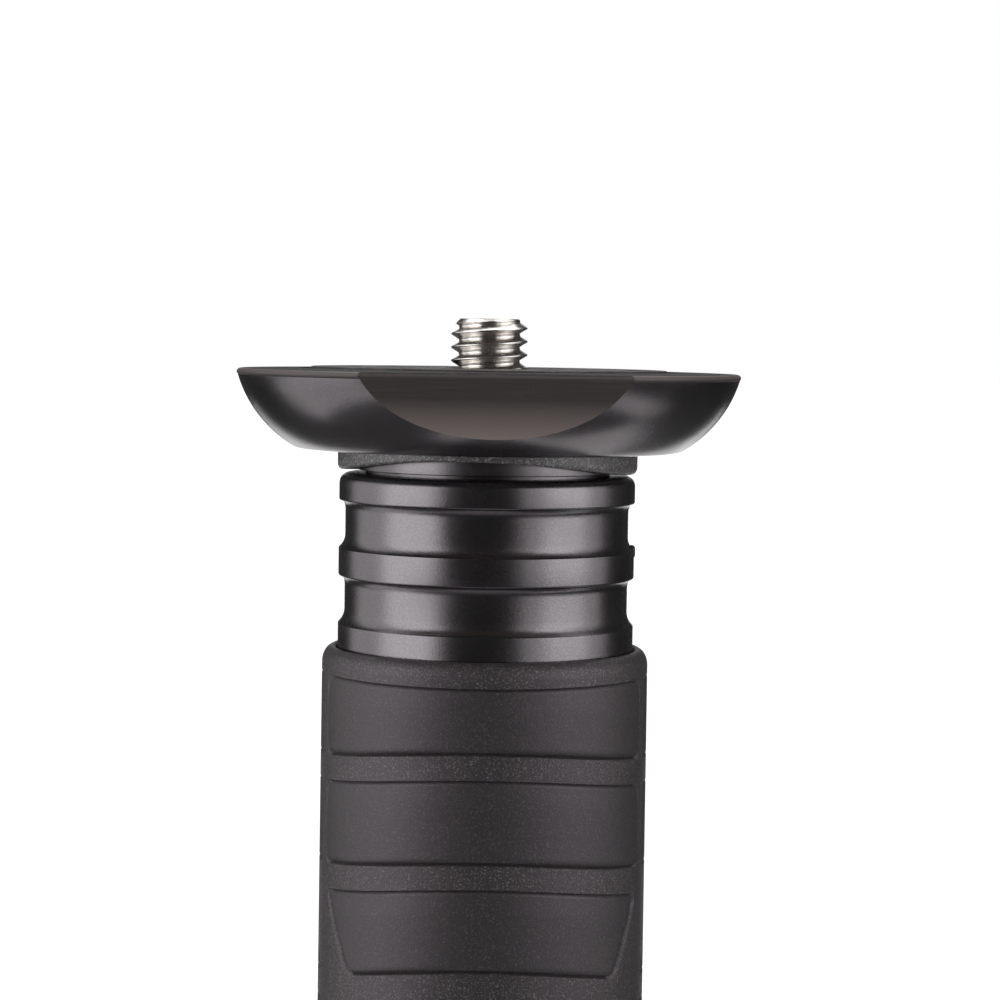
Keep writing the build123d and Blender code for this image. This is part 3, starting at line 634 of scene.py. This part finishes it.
def cap_set_screw():
    """The small screw at the right end of the cap's upper groove, with its hexagon socket."""
    screw, socket, depth, nose = 0.82 * MM, 0.46 * MM, 2.0 * MM, 0.4 * MM
    start, end = BOXES["cap_set_screw"][0].x, BOXES["cap_set_screw"][1].x
    height = low("cap_set_screw") + screw
    section = [
        (0, start),
        (screw, start),
        (screw, end - nose),
        *arc((screw, end - nose), (screw - nose, end), nose, 7),
        (screw - nose, end),
        (socket, end),
        (socket, end - depth),
        (0, end - depth),
    ]
    rings = turned_rings(section, 48)
    azimuth = np.arctan2(rings[..., 1], rings[..., 0])
    reach = np.hypot(rings[..., 0], rings[..., 1])
    side = (azimuth + pi / 6) % (pi / 3) - pi / 6
    hexagon = np.where(reach < socket * 1.02, cos(pi / 6) / np.cos(side), 1)
    rings[..., :2] *= hexagon[..., None]
    rings = np.stack([rings[..., 2], rings[..., 0], rings[..., 1] + height], -1)
    mesh = mesh_of_rings("cap_set_screw_look", rings, False)
    stand_for("cap_set_screw", mesh, BLACK_STEEL)


# The grip's moulded pattern: each line's depth below the grip's top at the front, and how much
# lower it runs at the sides. Angles are degrees from the front or back.
LINES = [
    (3.25 * MM, 0.0), (10.6 * MM, 2.13 * MM), (13.7 * MM, 2.25 * MM), (23.2 * MM, 2.4 * MM),
    (26.25 * MM, 2.7 * MM), (35.6 * MM, 3.2 * MM), (38.85 * MM, 3.2 * MM),
]
PANEL_EDGE, SIDE_EDGE = 69.8, 74.6
THIRD_TOP, THIRD_FOOT = 68.0, 52.8
PALM_TOP, PALM_SLOPE = 46.0, 8.0 * MM
SIDE_APEX_RISE = 5.0 * MM  # of the third side panel's apex above its lower edge
GROOVE_DEPTH, BORDER_DEPTH, PANEL_DEPTH = 0.38 * MM, 0.15 * MM, 0.04 * MM
SIDE_DEPTH, SIDE_WALL, SIDE_RUN = 0.34 * MM, 0.36 * MM, 3.6 * MM  # of the side panels
WALL, INNER_WALL = 0.17 * MM, 0.36 * MM  # widths of a groove's two sides
TOP_SLOPE, FOOT_SLOPE, SIDE_SLOPE = 3.0 * MM, 0.8 * MM, 0.8 * MM  # widths of a panel's borders
CORNER = 1.1 * MM  # radius of a panel's corners
EDGE_WIDTH, EDGE_HEIGHT = 1.35 * MM, 1.9 * MM  # of the round at each end of the grip
EDGE_DROP = 0.25 * MM  # of that round below the grip's end


def grip_radius_at(height):
    """The grip's radius, a little wider at its middle."""
    share = (grip_top - height) / (grip_top - low("grip"))
    return wide("grip") - 0.1 * MM + 0.1 * MM * np.sin(pi * np.clip(share, 0, 1))


def grip_relief(angle, height):
    """Depth of the moulded pattern, and 1 where a point is outside all panels, from the angle from
    the front or back in degrees, 0 to 90, and the depth below the nearer end of the grip."""
    radius = wide("grip")
    bow = np.sin(np.radians(angle)) ** 2
    line = [depth + drop * bow for depth, drop in LINES]
    arc_at = radius * np.radians(angle)

    def beyond(limit):
        """Distance round the grip inside a panel's upright edge at an angle."""
        return radius * radians(limit) - arc_at

    def beside(top_angle, top, foot_angle, foot):
        """Distance to the front side of a sloping edge between two points."""
        run = radius * radians(foot_angle - top_angle)
        fall = foot - top
        edge_at = radius * radians(top_angle) + run * (height - top) / fall
        return (edge_at - arc_at) / np.hypot(1, run / fall)

    def depth_at(place, index):
        """Depth of a line at an angle."""
        return LINES[index][0] + LINES[index][1] * sin(radians(place)) ** 2

    palm_top = depth_at(PALM_TOP, 6)
    side_foot = depth_at(SIDE_EDGE, 5)
    deep = np.full_like(angle, 1.0)
    third = beside(THIRD_TOP, depth_at(THIRD_TOP, 4), THIRD_FOOT, depth_at(THIRD_FOOT, 5))
    palm = beside(PALM_TOP, palm_top, PANEL_EDGE, palm_top + PALM_SLOPE)
    apex = -beside(90.0, side_foot - SIDE_APEX_RISE, SIDE_EDGE, side_foot)
    at_side = angle > (PANEL_EDGE + SIDE_EDGE) / 2
    panels = [  # distances inside the three edges, and inside a third edge that has a groove
        (height - line[0], line[1] - height, beyond(PANEL_EDGE), deep),
        (height - line[2], line[3] - height, beyond(PANEL_EDGE), deep),
        (height - line[4], line[5] - height, third, third),
        (height - line[6], deep, np.minimum(palm, beyond(PANEL_EDGE)), palm),
        (height - line[0], line[1] - height, -beyond(SIDE_EDGE), deep),
        (height - line[2], line[3] - height, -beyond(SIDE_EDGE), deep),
        (deep, line[5] - height, apex, apex),
        (height - line[6], deep, -beyond(SIDE_EDGE), deep),
    ]
    past = -beyond(SIDE_EDGE)
    side_depth = SIDE_DEPTH * smooth(past / SIDE_WALL) * (1 - smooth((past - SIDE_WALL) / SIDE_RUN))
    panel_depth = np.where(at_side, side_depth, PANEL_DEPTH)
    groove_depth = np.where(at_side, side_depth + BORDER_DEPTH / 2, GROOVE_DEPTH)
    depth = np.zeros_like(angle)
    band = np.ones_like(angle)
    for below_top, above_foot, across, grooved in panels:
        upright = np.clip(CORNER - np.minimum(below_top, above_foot), 0, None)
        inside = CORNER - np.hypot(upright, np.clip(CORNER - across, 0, None))
        wall = smooth(inside / WALL + 1)
        nearest = np.minimum(np.minimum(below_top, above_foot), grooved)
        top_slope = np.where(at_side, FOOT_SLOPE, TOP_SLOPE)
        rise = smooth(below_top / top_slope) * smooth(above_foot / FOOT_SLOPE)
        rise = rise * smooth(grooved / SIDE_SLOPE)
        edge_depth = np.where(at_side, side_depth, BORDER_DEPTH)
        border = edge_depth + (panel_depth - edge_depth) * rise
        groove = (groove_depth - edge_depth) * (1 - smooth(nearest / INNER_WALL))
        depth = np.maximum(depth, wall * (border + groove))
        band = np.minimum(band, 1 - wall)
    return depth, band


def grip_stations():
    """Rows of the grip's outside, to its middle, as depths below its top at the front and sides."""
    near, step, coarse_step = 1.2 * MM, 0.17 * MM, 0.8 * MM
    sloping = {5: 0.3 * MM, 7: 0.35 * MM}  # steps across sloping edges, by number of lines above
    end = (grip_top - low("grip")) / 2
    first = EDGE_DROP + EDGE_HEIGHT
    knots = [(first, first)] + [(depth, depth + drop) for depth, drop in LINES] + [(end, end)]
    stations = []
    for index in range(len(knots) - 1):
        front, side = knots[index]
        next_front, next_side = knots[index + 1]
        length = next_front - front
        places = list(np.arange(0, min(near, length / 2), step))
        middle_step = sloping.get(index, coarse_step)
        gap = length - 2 * places[-1]
        count = max(1, round(gap / (middle_step if length > 2 * near else step)))
        middle = [places[-1] + gap * k / count for k in range(1, count)]
        for place in places + middle + [length - p for p in reversed(places) if p > 0]:
            share = place / length
            stations.append((front + place, side + (next_side - side) * share))
    return stations + [(end, end)]


def grip_angles():
    """Angles of the grip's columns within a quarter turn, denser where the panels end."""
    spans = ((0.0, 44.0, 2.0), (44.0, 66.0, 0.9), (66.0, 77.0, 0.5), (77.0, 90.0, 1.3))
    return np.concatenate([np.arange(start, end, step) for start, end, step in spans])


def grip():
    """The moulded rubber sleeve."""
    quarter = grip_angles()
    half = np.concatenate([quarter, [90.0], 180 - quarter[:0:-1]])
    azimuth = np.radians(np.concatenate([half, half + 180]) - 90)
    angle = np.tile(np.minimum(half, 180 - half), 2)
    stations = grip_stations()
    length = grip_top - low("grip")
    rows = [(front, side) for front, side in stations]
    rows += [(length - front, length - side) for front, side in reversed(stations[:-1])]
    bow = np.sin(np.radians(angle)) ** 2
    depth = np.array([[front + (side - front) * b for b in bow] for front, side in rows])
    from_end = np.minimum(depth, length - depth)
    relief, band = grip_relief(np.broadcast_to(angle, depth.shape).copy(), from_end)
    outside = rings_of(grip_radius_at(grip_top - depth) - relief, azimuth, grip_top - depth)

    bore, lip, lip_round = 16.02 * MM, wide("top_cap") + 0.16 * MM, 0.4 * MM
    lip_top, seat = grip_top - EDGE_DROP, low("top_cap") - 0.02 * MM
    turn = np.linspace(0, pi / 2, 10, endpoint=False)[:, None]
    edge = grip_radius_at(grip_top - EDGE_HEIGHT) - EDGE_WIDTH * (1 - np.sin(turn))
    fall = EDGE_DROP + EDGE_HEIGHT * (1 - np.cos(turn))
    top_round = rings_of(edge, azimuth, grip_top - fall)
    foot_round = rings_of(edge[::-1], azimuth, low("grip") + fall[::-1])
    inside = [
        (bore, low("grip")), (bore, seat), (lip, seat), (lip, lip_top - lip_round),
        *arc((lip + lip_round, lip_top), (lip, lip_top - lip_round), lip_round, 5)[::-1],
    ]
    inside = np.array(inside)
    inner = rings_of(inside[:, :1], azimuth, inside[:, 1:])
    rings = np.concatenate([top_round, outside, foot_round, inner])
    mesh = mesh_of_rings("grip_look", rings)
    values = np.concatenate([
        np.ones(top_round.shape[:2]), band, np.ones(foot_round.shape[:2]), np.ones(inner.shape[:2])
    ])
    mesh.attributes.new("band", "FLOAT", "POINT").data.foreach_set("value", values.ravel())
    stand_for("grip", mesh, soft_rubber("grip_rubber", band="band"), sharp=60)


# Tubes and locks

def tube(number):
    """One of the nested carbon tubes."""
    node = f"tube_{number}"
    outer, wall = wide(node), 1.2 * MM
    turned(node, [
        (outer - wall, high(node), 0.1 * MM),
        (outer, high(node), 0.2 * MM),
        (outer, low(node), 0.2 * MM),
        (outer - wall, low(node), 0.1 * MM),
    ], carbon(f"carbon_{number}", outer), columns=144)


def lock_ferrule(number):
    """The threaded end piece of a tube, with its flange."""
    node = f"lock_ferrule_{number}"
    outer, inner = wide(f"tube_{number}"), wide(f"tube_{number + 1}")
    top, flange, thread = high(node), wide(node), outer + 2.0 * MM
    flange_end, bore = top - 4.5 * MM, outer + 0.02 * MM
    socket, cone_top, cone_foot = inner + 0.35 * MM, inner + 0.95 * MM, inner + 1.9 * MM
    ledge, cone_start = top - 12.0 * MM, top - 13.0 * MM
    turned(node, [
        (bore, top, 0.1 * MM),
        (flange, top, 0.35 * MM),
        (flange, flange_end, 0.15 * MM),
        (thread, flange_end, 0),
        (thread, low(node), 0.4 * MM),
        (cone_foot, low(node), 0.1 * MM),
        (cone_top, cone_start, 0),
        (socket, cone_start, 0),
        (socket, ledge, 0),
        (bore, ledge, 0),
    ], BLACK, columns=144)


def lock_collar(number):
    """The twist collar, with a lip at each end of the rubber sleeve's seat."""
    node = f"lock_collar_{number}"
    inner = wide(f"tube_{number + 1}")
    thread = wide(f"tube_{number}") + 2.08 * MM
    seat = thread + 1.5 * MM
    lip, lip_length = wide(node), 1.4 * MM
    top, end = high(node), low(node)
    ferrule_top = high(f"lock_ferrule_{number}")
    flange_seat, flange_floor = inner + 2.98 * MM, ferrule_top - 22.58 * MM
    ring, ring_length, ring_top = inner + 2.5 * MM, 0.4 * MM, ferrule_top - 19.52 * MM
    seal_seat, seal_floor, mouth = inner + 1.6 * MM, ferrule_top - 25.25 * MM, inner + 0.35 * MM
    turned(node, [
        (thread, top, 0.15 * MM),
        (lip, top, 0.35 * MM),
        (lip, top - lip_length, 0.08 * MM),
        (seat, top - lip_length, 0),
        (seat, end + lip_length, 0),
        (lip, end + lip_length, 0.08 * MM),
        (lip, end, 0.35 * MM),
        (mouth, end, 0.15 * MM),
        (mouth, seal_floor, 0),
        (seal_seat, seal_floor, 0),
        (seal_seat, flange_floor, 0),
        (flange_seat, flange_floor, 0),
        (flange_seat, ring_top - ring_length, 0),
        (ring, ring_top - ring_length, 0),
        (ring, ring_top, 0),
        (thread, ring_top, 0),
    ], BLACK, columns=144)


def fluted(node, section, flutes, cut, material, per_flute=14, sharp=35):
    """A turned piece whose outside has flutes: cut gives their floor's radius from the distance
    beside a flute's middle and the height."""
    rings = turned_rings(section, flutes * per_flute)
    azimuth = np.arctan2(rings[..., 1], rings[..., 0])
    reach = np.hypot(rings[..., 0], rings[..., 1])
    beside = reach * ((azimuth * flutes / (2 * pi) + 0.5) % 1 - 0.5) * 2 * pi / flutes
    rings[..., :2] *= (np.minimum(reach, cut(beside, rings[..., 2])) / reach)[..., None]
    stand_for(node, mesh_of_rings(node + "_look", rings), material, sharp=sharp)


def lock_sleeve(number):
    """The ribbed rubber sleeve on a collar."""
    node = f"lock_sleeve_{number}"
    outer, top, end = wide(node), high(node), low(node)
    seat = wide(f"tube_{number}") + 3.6 * MM
    margin, run_out, flute, edge, rows = 2.2 * MM, 1.0 * MM, 0.8 * MM, 0.5 * MM, 40
    section = rounded([(seat, end, 0), (seat, top, 0), (outer, top, edge)])
    section += [(outer, z) for z in np.linspace(top - margin / 2, end + margin / 2, rows)]
    section += rounded([(seat, top, 0), (outer, end, edge), (seat, end, 0)])[1:-1]

    def cut(beside, height):
        """A round flute that runs out at both ends."""
        depth = np.sqrt(np.clip(flute ** 2 - beside ** 2, 0, None))
        ends = np.minimum(top - margin - height, height - end - margin)
        return outer - depth * np.sqrt(smooth((ends + run_out / 2) / run_out))

    fluted(node, section, 30, cut, RUBBER)


# Foot

def foot_holder():
    """The turned piece that holds the spike in the lowest tube."""
    node = "foot_holder"
    tube_radius = wide("tube_5")
    sleeve, plug, spike_hole = tube_radius + 1.1 * MM, tube_radius - 1.22 * MM, 4.02 * MM
    flange, flange_start, flange_top = wide(node), 37.35 * MM, 39.95 * MM
    seat, hole_top = low(node) + 3.2 * MM, low(node) + 20.02 * MM
    bore = tube_radius + 0.02 * MM
    turned(node, [
        (spike_hole, low(node), 0.1 * MM),
        (sleeve, low(node), 0.3 * MM),
        (sleeve, flange_start, 0),
        (flange, flange_start, 0.12 * MM),
        (flange, flange_top, 0.3 * MM),
        (bore, flange_top, 0),
        (bore, seat, 0),
        (plug, seat, 0),
        (plug, high(node), 0.4 * MM),
        (0, high(node), 0),
        (0, hole_top, 0),
        (spike_hole, hole_top, 0),
    ], BLACK, columns=112)


def keyed(node, corners, reach, flat, start, end, material):
    """A turned piece with a flat on the +Y side, where it is narrower than reach and between two
    heights."""
    rings = turned_rings(rounded(corners), 96)
    height = rings[..., 2]
    rod = (np.hypot(rings[..., 0], rings[..., 1]) < reach) & (height > start) & (height < end)
    rings[..., 1] = np.where(rod, np.minimum(rings[..., 1], flat), rings[..., 1])
    stand_for(node, mesh_of_rings(node + "_look", rings), material, sharp=35)


def spike():
    """The pointed steel rod with a flat along it, and the washer that slides on the flat."""
    radius, tip, point, cone = wide("spike"), low("spike"), 0.3 * MM, 8.5 * MM
    start, end = low("foot_washer") - 0.43 * MM, low("foot_holder") - 0.3 * MM
    key, play, shoulder = 0.7 * MM, 0.08 * MM, 0.002 * MM
    keyed("spike", [
        (0, tip, 0),
        (point, tip, 0.1 * MM),
        (radius, tip + cone, 0.6 * MM),
        (radius, start, 0),
        (radius, start + shoulder, 0),
        (radius, end - shoulder, 0),
        (radius, end, 0),
        (radius, high("spike"), 0.3 * MM),
        (0, high("spike"), 0),
    ], radius * 1.01, radius - key, start, end, STEEL)
    hole, washer = radius + play, wide("foot_washer")
    keyed("foot_washer", [
        (hole, low("foot_washer"), 0),
        (washer, low("foot_washer"), 0.12 * MM),
        (washer, high("foot_washer"), 0.12 * MM),
        (hole, high("foot_washer"), 0),
    ], hole * 1.01, radius - key + play, 0, 1, BLACK_STEEL)


def rubber_foot():
    """The rubber foot, with flutes round it and two grooves in its sole."""
    node = "rubber_foot"
    outer, sole, top_radius, top = wide(node), 13.4 * MM, 12.2 * MM, high(node)
    waist, bore, hole = 7.0 * MM, 10.25 * MM, 5.5 * MM
    flange, flange_top, flange_length = 9.22 * MM, 12.8 * MM, 2.02 * MM
    insert, insert_floor = 8.02 * MM, 3.0 * MM
    groove, groove_width, groove_edge = 0.6 * MM, 0.9 * MM, 0.1 * MM
    edge_height = 0.8 * MM
    taper = np.linspace(0, 1, 44)[3:-3]
    corners = [(hole, insert_floor, 0), (hole, 0, 0.2 * MM)]
    for place in (7.6 * MM, 10.4 * MM):
        corners += [
            (place, 0, groove_edge), (place, groove, groove_edge),
            (place + groove_width, groove, groove_edge), (place + groove_width, 0, groove_edge),
        ]
    corners += [(sole, 0, 0.4 * MM), (outer, edge_height, edge_height), (outer, waist, 1.5 * MM)]
    corners += [
        (outer + (top_radius - outer) * t, waist + (top - waist) * t, 0) for t in taper
    ]
    corners += [
        (top_radius, top, 0.9 * MM),
        (bore, top, 0.3 * MM),
        (bore, flange_top, 0),
        (flange, flange_top, 0),
        (flange, flange_top - flange_length, 0),
        (insert, flange_top - flange_length, 0),
        (insert, insert_floor, 0),
    ]
    flute, start, end, run_out, lift = 0.7 * MM, 11.0 * MM, 26.5 * MM, 0.5 * MM, 3.0 * MM
    middle = top_radius + flute

    def cut(beside, height):
        """A round flute along the taper, which runs out at both ends."""
        floor = middle - np.sqrt(np.clip(flute ** 2 - beside ** 2, 0, None))
        away = np.minimum(height - start, end - height)
        in_flute = (np.abs(beside) < flute) & (away > -run_out)
        rise = lift * (1 - np.sqrt(smooth((away + run_out) / (2 * run_out))))
        return np.where(in_flute, floor + rise, 1.0)

    fluted(node, rounded(corners), 24, cut, RUBBER)


# Stage

def lamp(name, azimuth, elevation, distance, width, foot, top, radiance, reflected):
    """A soft lamp at an azimuth from the camera's side to the right. Foot and top give its height,
    and the height of the point that it is turned to. Not reflected, it only sheds light."""
    height = top - foot
    data = bpy.data.lights.new(name, "AREA")
    data.shape = "RECTANGLE"
    data.size, data.size_y = width, height
    data.energy = radiance * pi * width * height
    light = bpy.data.objects.new(name, data)
    bpy.context.scene.collection.objects.link(light)
    turn, lift = radians(azimuth), radians(elevation)
    away = Vector((sin(turn) * cos(lift), -cos(turn) * cos(lift), sin(lift)))
    light.location = away * distance + Vector((0, 0, (foot + top) / 2))
    light.rotation_mode = "QUATERNION"
    light.rotation_quaternion = away.to_track_quat("Z", "Y")
    light.visible_camera = False
    light.visible_glossy = reflected


def background_rays(tree):
    """1 for camera, glossy and transmission rays, else 0."""
    path = tree.nodes.new("ShaderNodeLightPath")
    found = path.outputs["Is Camera Ray"]
    for ray in ("Is Glossy Ray", "Is Transmission Ray"):
        node = tree.nodes.new("ShaderNodeMath")
        node.operation = "MAXIMUM"
        tree.links.new(found, node.inputs[0])
        tree.links.new(path.outputs[ray], node.inputs[1])
        found = node.outputs[0]
    return found


def world():
    """A white background, and a grey one for the light that it sheds."""
    made = bpy.data.worlds.new("studio")
    bpy.context.scene.world = made
    made.use_nodes = True
    tree = made.node_tree
    shown = tree.nodes["Background"]
    shown.inputs["Color"].default_value = (1, 1, 1, 1)
    shed = tree.nodes.new("ShaderNodeBackground")
    shed.inputs["Color"].default_value = (0.22, 0.22, 0.22, 1)
    mix = tree.nodes.new("ShaderNodeMixShader")
    tree.links.new(background_rays(tree), mix.inputs[0])
    tree.links.new(shed.outputs[0], mix.inputs[1])
    tree.links.new(shown.outputs[0], mix.inputs[2])
    tree.links.new(mix.outputs[0], tree.nodes["World Output"].inputs[0])


def floor():
    """The pale floor: it keeps the shadow near the foot and turns white far off."""
    reach = 30.0
    mesh = bpy.data.meshes.new("floor")
    corners = [(-reach, -reach, 0), (reach, -reach, 0), (reach, reach, 0), (-reach, reach, 0)]
    mesh.from_pydata(corners, [], [(0, 1, 2, 3)])
    stage = bpy.data.objects.new("floor", mesh)
    bpy.context.scene.collection.objects.link(stage)
    finish = Finish("floor", (0.8, 0.8, 0.8), 0.9, Specular_IOR_Level=0.0)
    away = finish.add("ShaderNodeVectorMath", {0: finish.place}, operation="LENGTH")
    glow = finish.ranged(away.outputs["Value"], 0.25, 1.3, 0.25, 1.0)
    strength = finish.math("MULTIPLY", glow, background_rays(finish.tree))
    finish.shader.inputs["Emission Color"].default_value = (1, 1, 1, 1)
    finish.tree.links.new(strength, finish.shader.inputs["Emission Strength"])
    mesh.materials.append(finish.material)


def dark_room():
    """Dark walls, half a ceiling and floor cloths that only reflections show. The walls have a low
    opening behind the object. The floor stays bare behind it and under the lamps beside it."""
    radius, height, sill, lift, inner, columns = 2.4, 2.6, 1.2, 3 * MM, 0.1, 60
    dark = Finish("dark_cloth", (0.15, 0.15, 0.15), 0.9, Specular_IOR_Level=0.0)
    brown = Finish("brown_cloth", (0.42, 0.34, 0.3), 0.9, Specular_IOR_Level=0.0)
    grey = Finish("grey_cloth", (0.42, 0.4, 0.42), 0.9, Specular_IOR_Level=0.0)
    for name, cloth, start, end, section in (  # angles from +X, in degrees
        ("dark_walls", dark, 100, 440, [(radius, lift), (radius, height)]),
        ("dark_lintel", dark, 80, 100, [(radius, sill), (radius, height)]),
        ("brown_ceiling", brown, 180, 360, [(0.01, height), (radius, height)]),
        ("grey_cloth_front", grey, 225, 315, [(inner, lift), (0.6, lift)]),
        ("dark_cloth_front", dark, 210, 330, [(0.6, lift), (radius, lift)]),
        ("dark_cloth_left", dark, 112, 152, [(inner, lift), (radius, lift)]),
        ("dark_cloth_near_left", dark, 152, 225, [(inner, lift), (0.44, lift)]),
        ("dark_cloth_far_left", dark, 152, 210, [(1.2, lift), (radius, lift)]),
        ("dark_cloth_right", dark, 15, 68, [(0.4, lift), (radius, lift)]),
        ("dark_cloth_near_right", dark, 315, 375, [(inner, lift), (0.41, lift)]),
        ("dark_cloth_far_right", dark, 330, 375, [(0.6, lift), (radius, lift)]),
    ):
        section = np.array(section)
        azimuth = np.radians(np.linspace(start, end, columns))
        rings = rings_of(section[:, :1], azimuth, section[:, 1:])
        mesh = bpy.data.meshes.new(name)
        faces = [(k, k + 1, k + columns + 1, k + columns) for k in range(columns - 1)]
        mesh.from_pydata(rings.reshape(-1, 3).tolist(), [], faces)
        mesh.materials.append(cloth.material)
        wall = bpy.data.objects.new(name, mesh)
        bpy.context.scene.collection.objects.link(wall)
        for ray in ("camera", "diffuse", "transmission", "volume_scatter", "shadow"):
            setattr(wall, "visible_" + ray, False)


def camera():
    """The camera at the photograph's viewpoint, a little above the rim."""
    data = bpy.data.cameras.new("camera")
    data.lens, data.sensor_width = 102.6, 36.0
    eye = bpy.data.objects.new("camera", data)
    bpy.context.scene.collection.objects.link(eye)
    place = Matrix.Translation((1.54 * MM, -340.5 * MM, rim + 4.23 * MM))
    pitch, roll = radians(90 - 3.3), radians(0.86)
    eye.matrix_world = place @ Matrix.Rotation(pitch, 4, "X") @ Matrix.Rotation(roll, 4, "Z")
    bpy.context.scene.camera = eye


camera()
world()
floor()
dark_room()
for settings in (  # name, azimuth, elevation, distance, width, foot, top, radiance, reflected
    ("left_lamp", -63, 0, 0.55, 0.46, 0.22, 0.95, 1.35, True),
    ("left_sheet", -80, 0, 0.60, 1.25, 0.22, 0.95, 1.0, True),
    ("right_lamp", 65, 0, 0.55, 0.38, 0.30, 0.95, 1.3, True),
    ("right_sheet", 66, 0, 0.60, 0.95, 0.22, 0.95, 0.95, True),
    ("back_lamp", 180, 0, 0.80, 0.65, 0.22, 0.95, 1.2, False),
    ("top_lamp", 180, 62, 0.90, 1.20, 0.15, 1.05, 1.3, True),
):
    lamp(*settings)
bpy.context.scene.view_settings.view_transform = "Standard"

camera_screw()
platform()
platform_pad()
platform_ring()
spindle()
top_cap()
cap_set_screw()
grip()
for number in range(1, 6):
    tube(number)
for number in range(1, 5):
    lock_ferrule(number)
    lock_collar(number)
    lock_sleeve(number)
foot_holder()
spike()
rubber_foot()

# Pieces inside keep their modelled shape
INSIDE = {
    "collet": nylon("collet_nylon"),
    "shims": nylon("shim_nylon"),
    "seal": soft_rubber("seal_rubber", (0.03, 0.03, 0.03)),
    "insert": turned_brass(),
}
for node, made in frame["nodes"].items():
    for word, material in INSIDE.items():
        if word in node:
            made.data.materials.clear()
            made.data.materials.append(material)
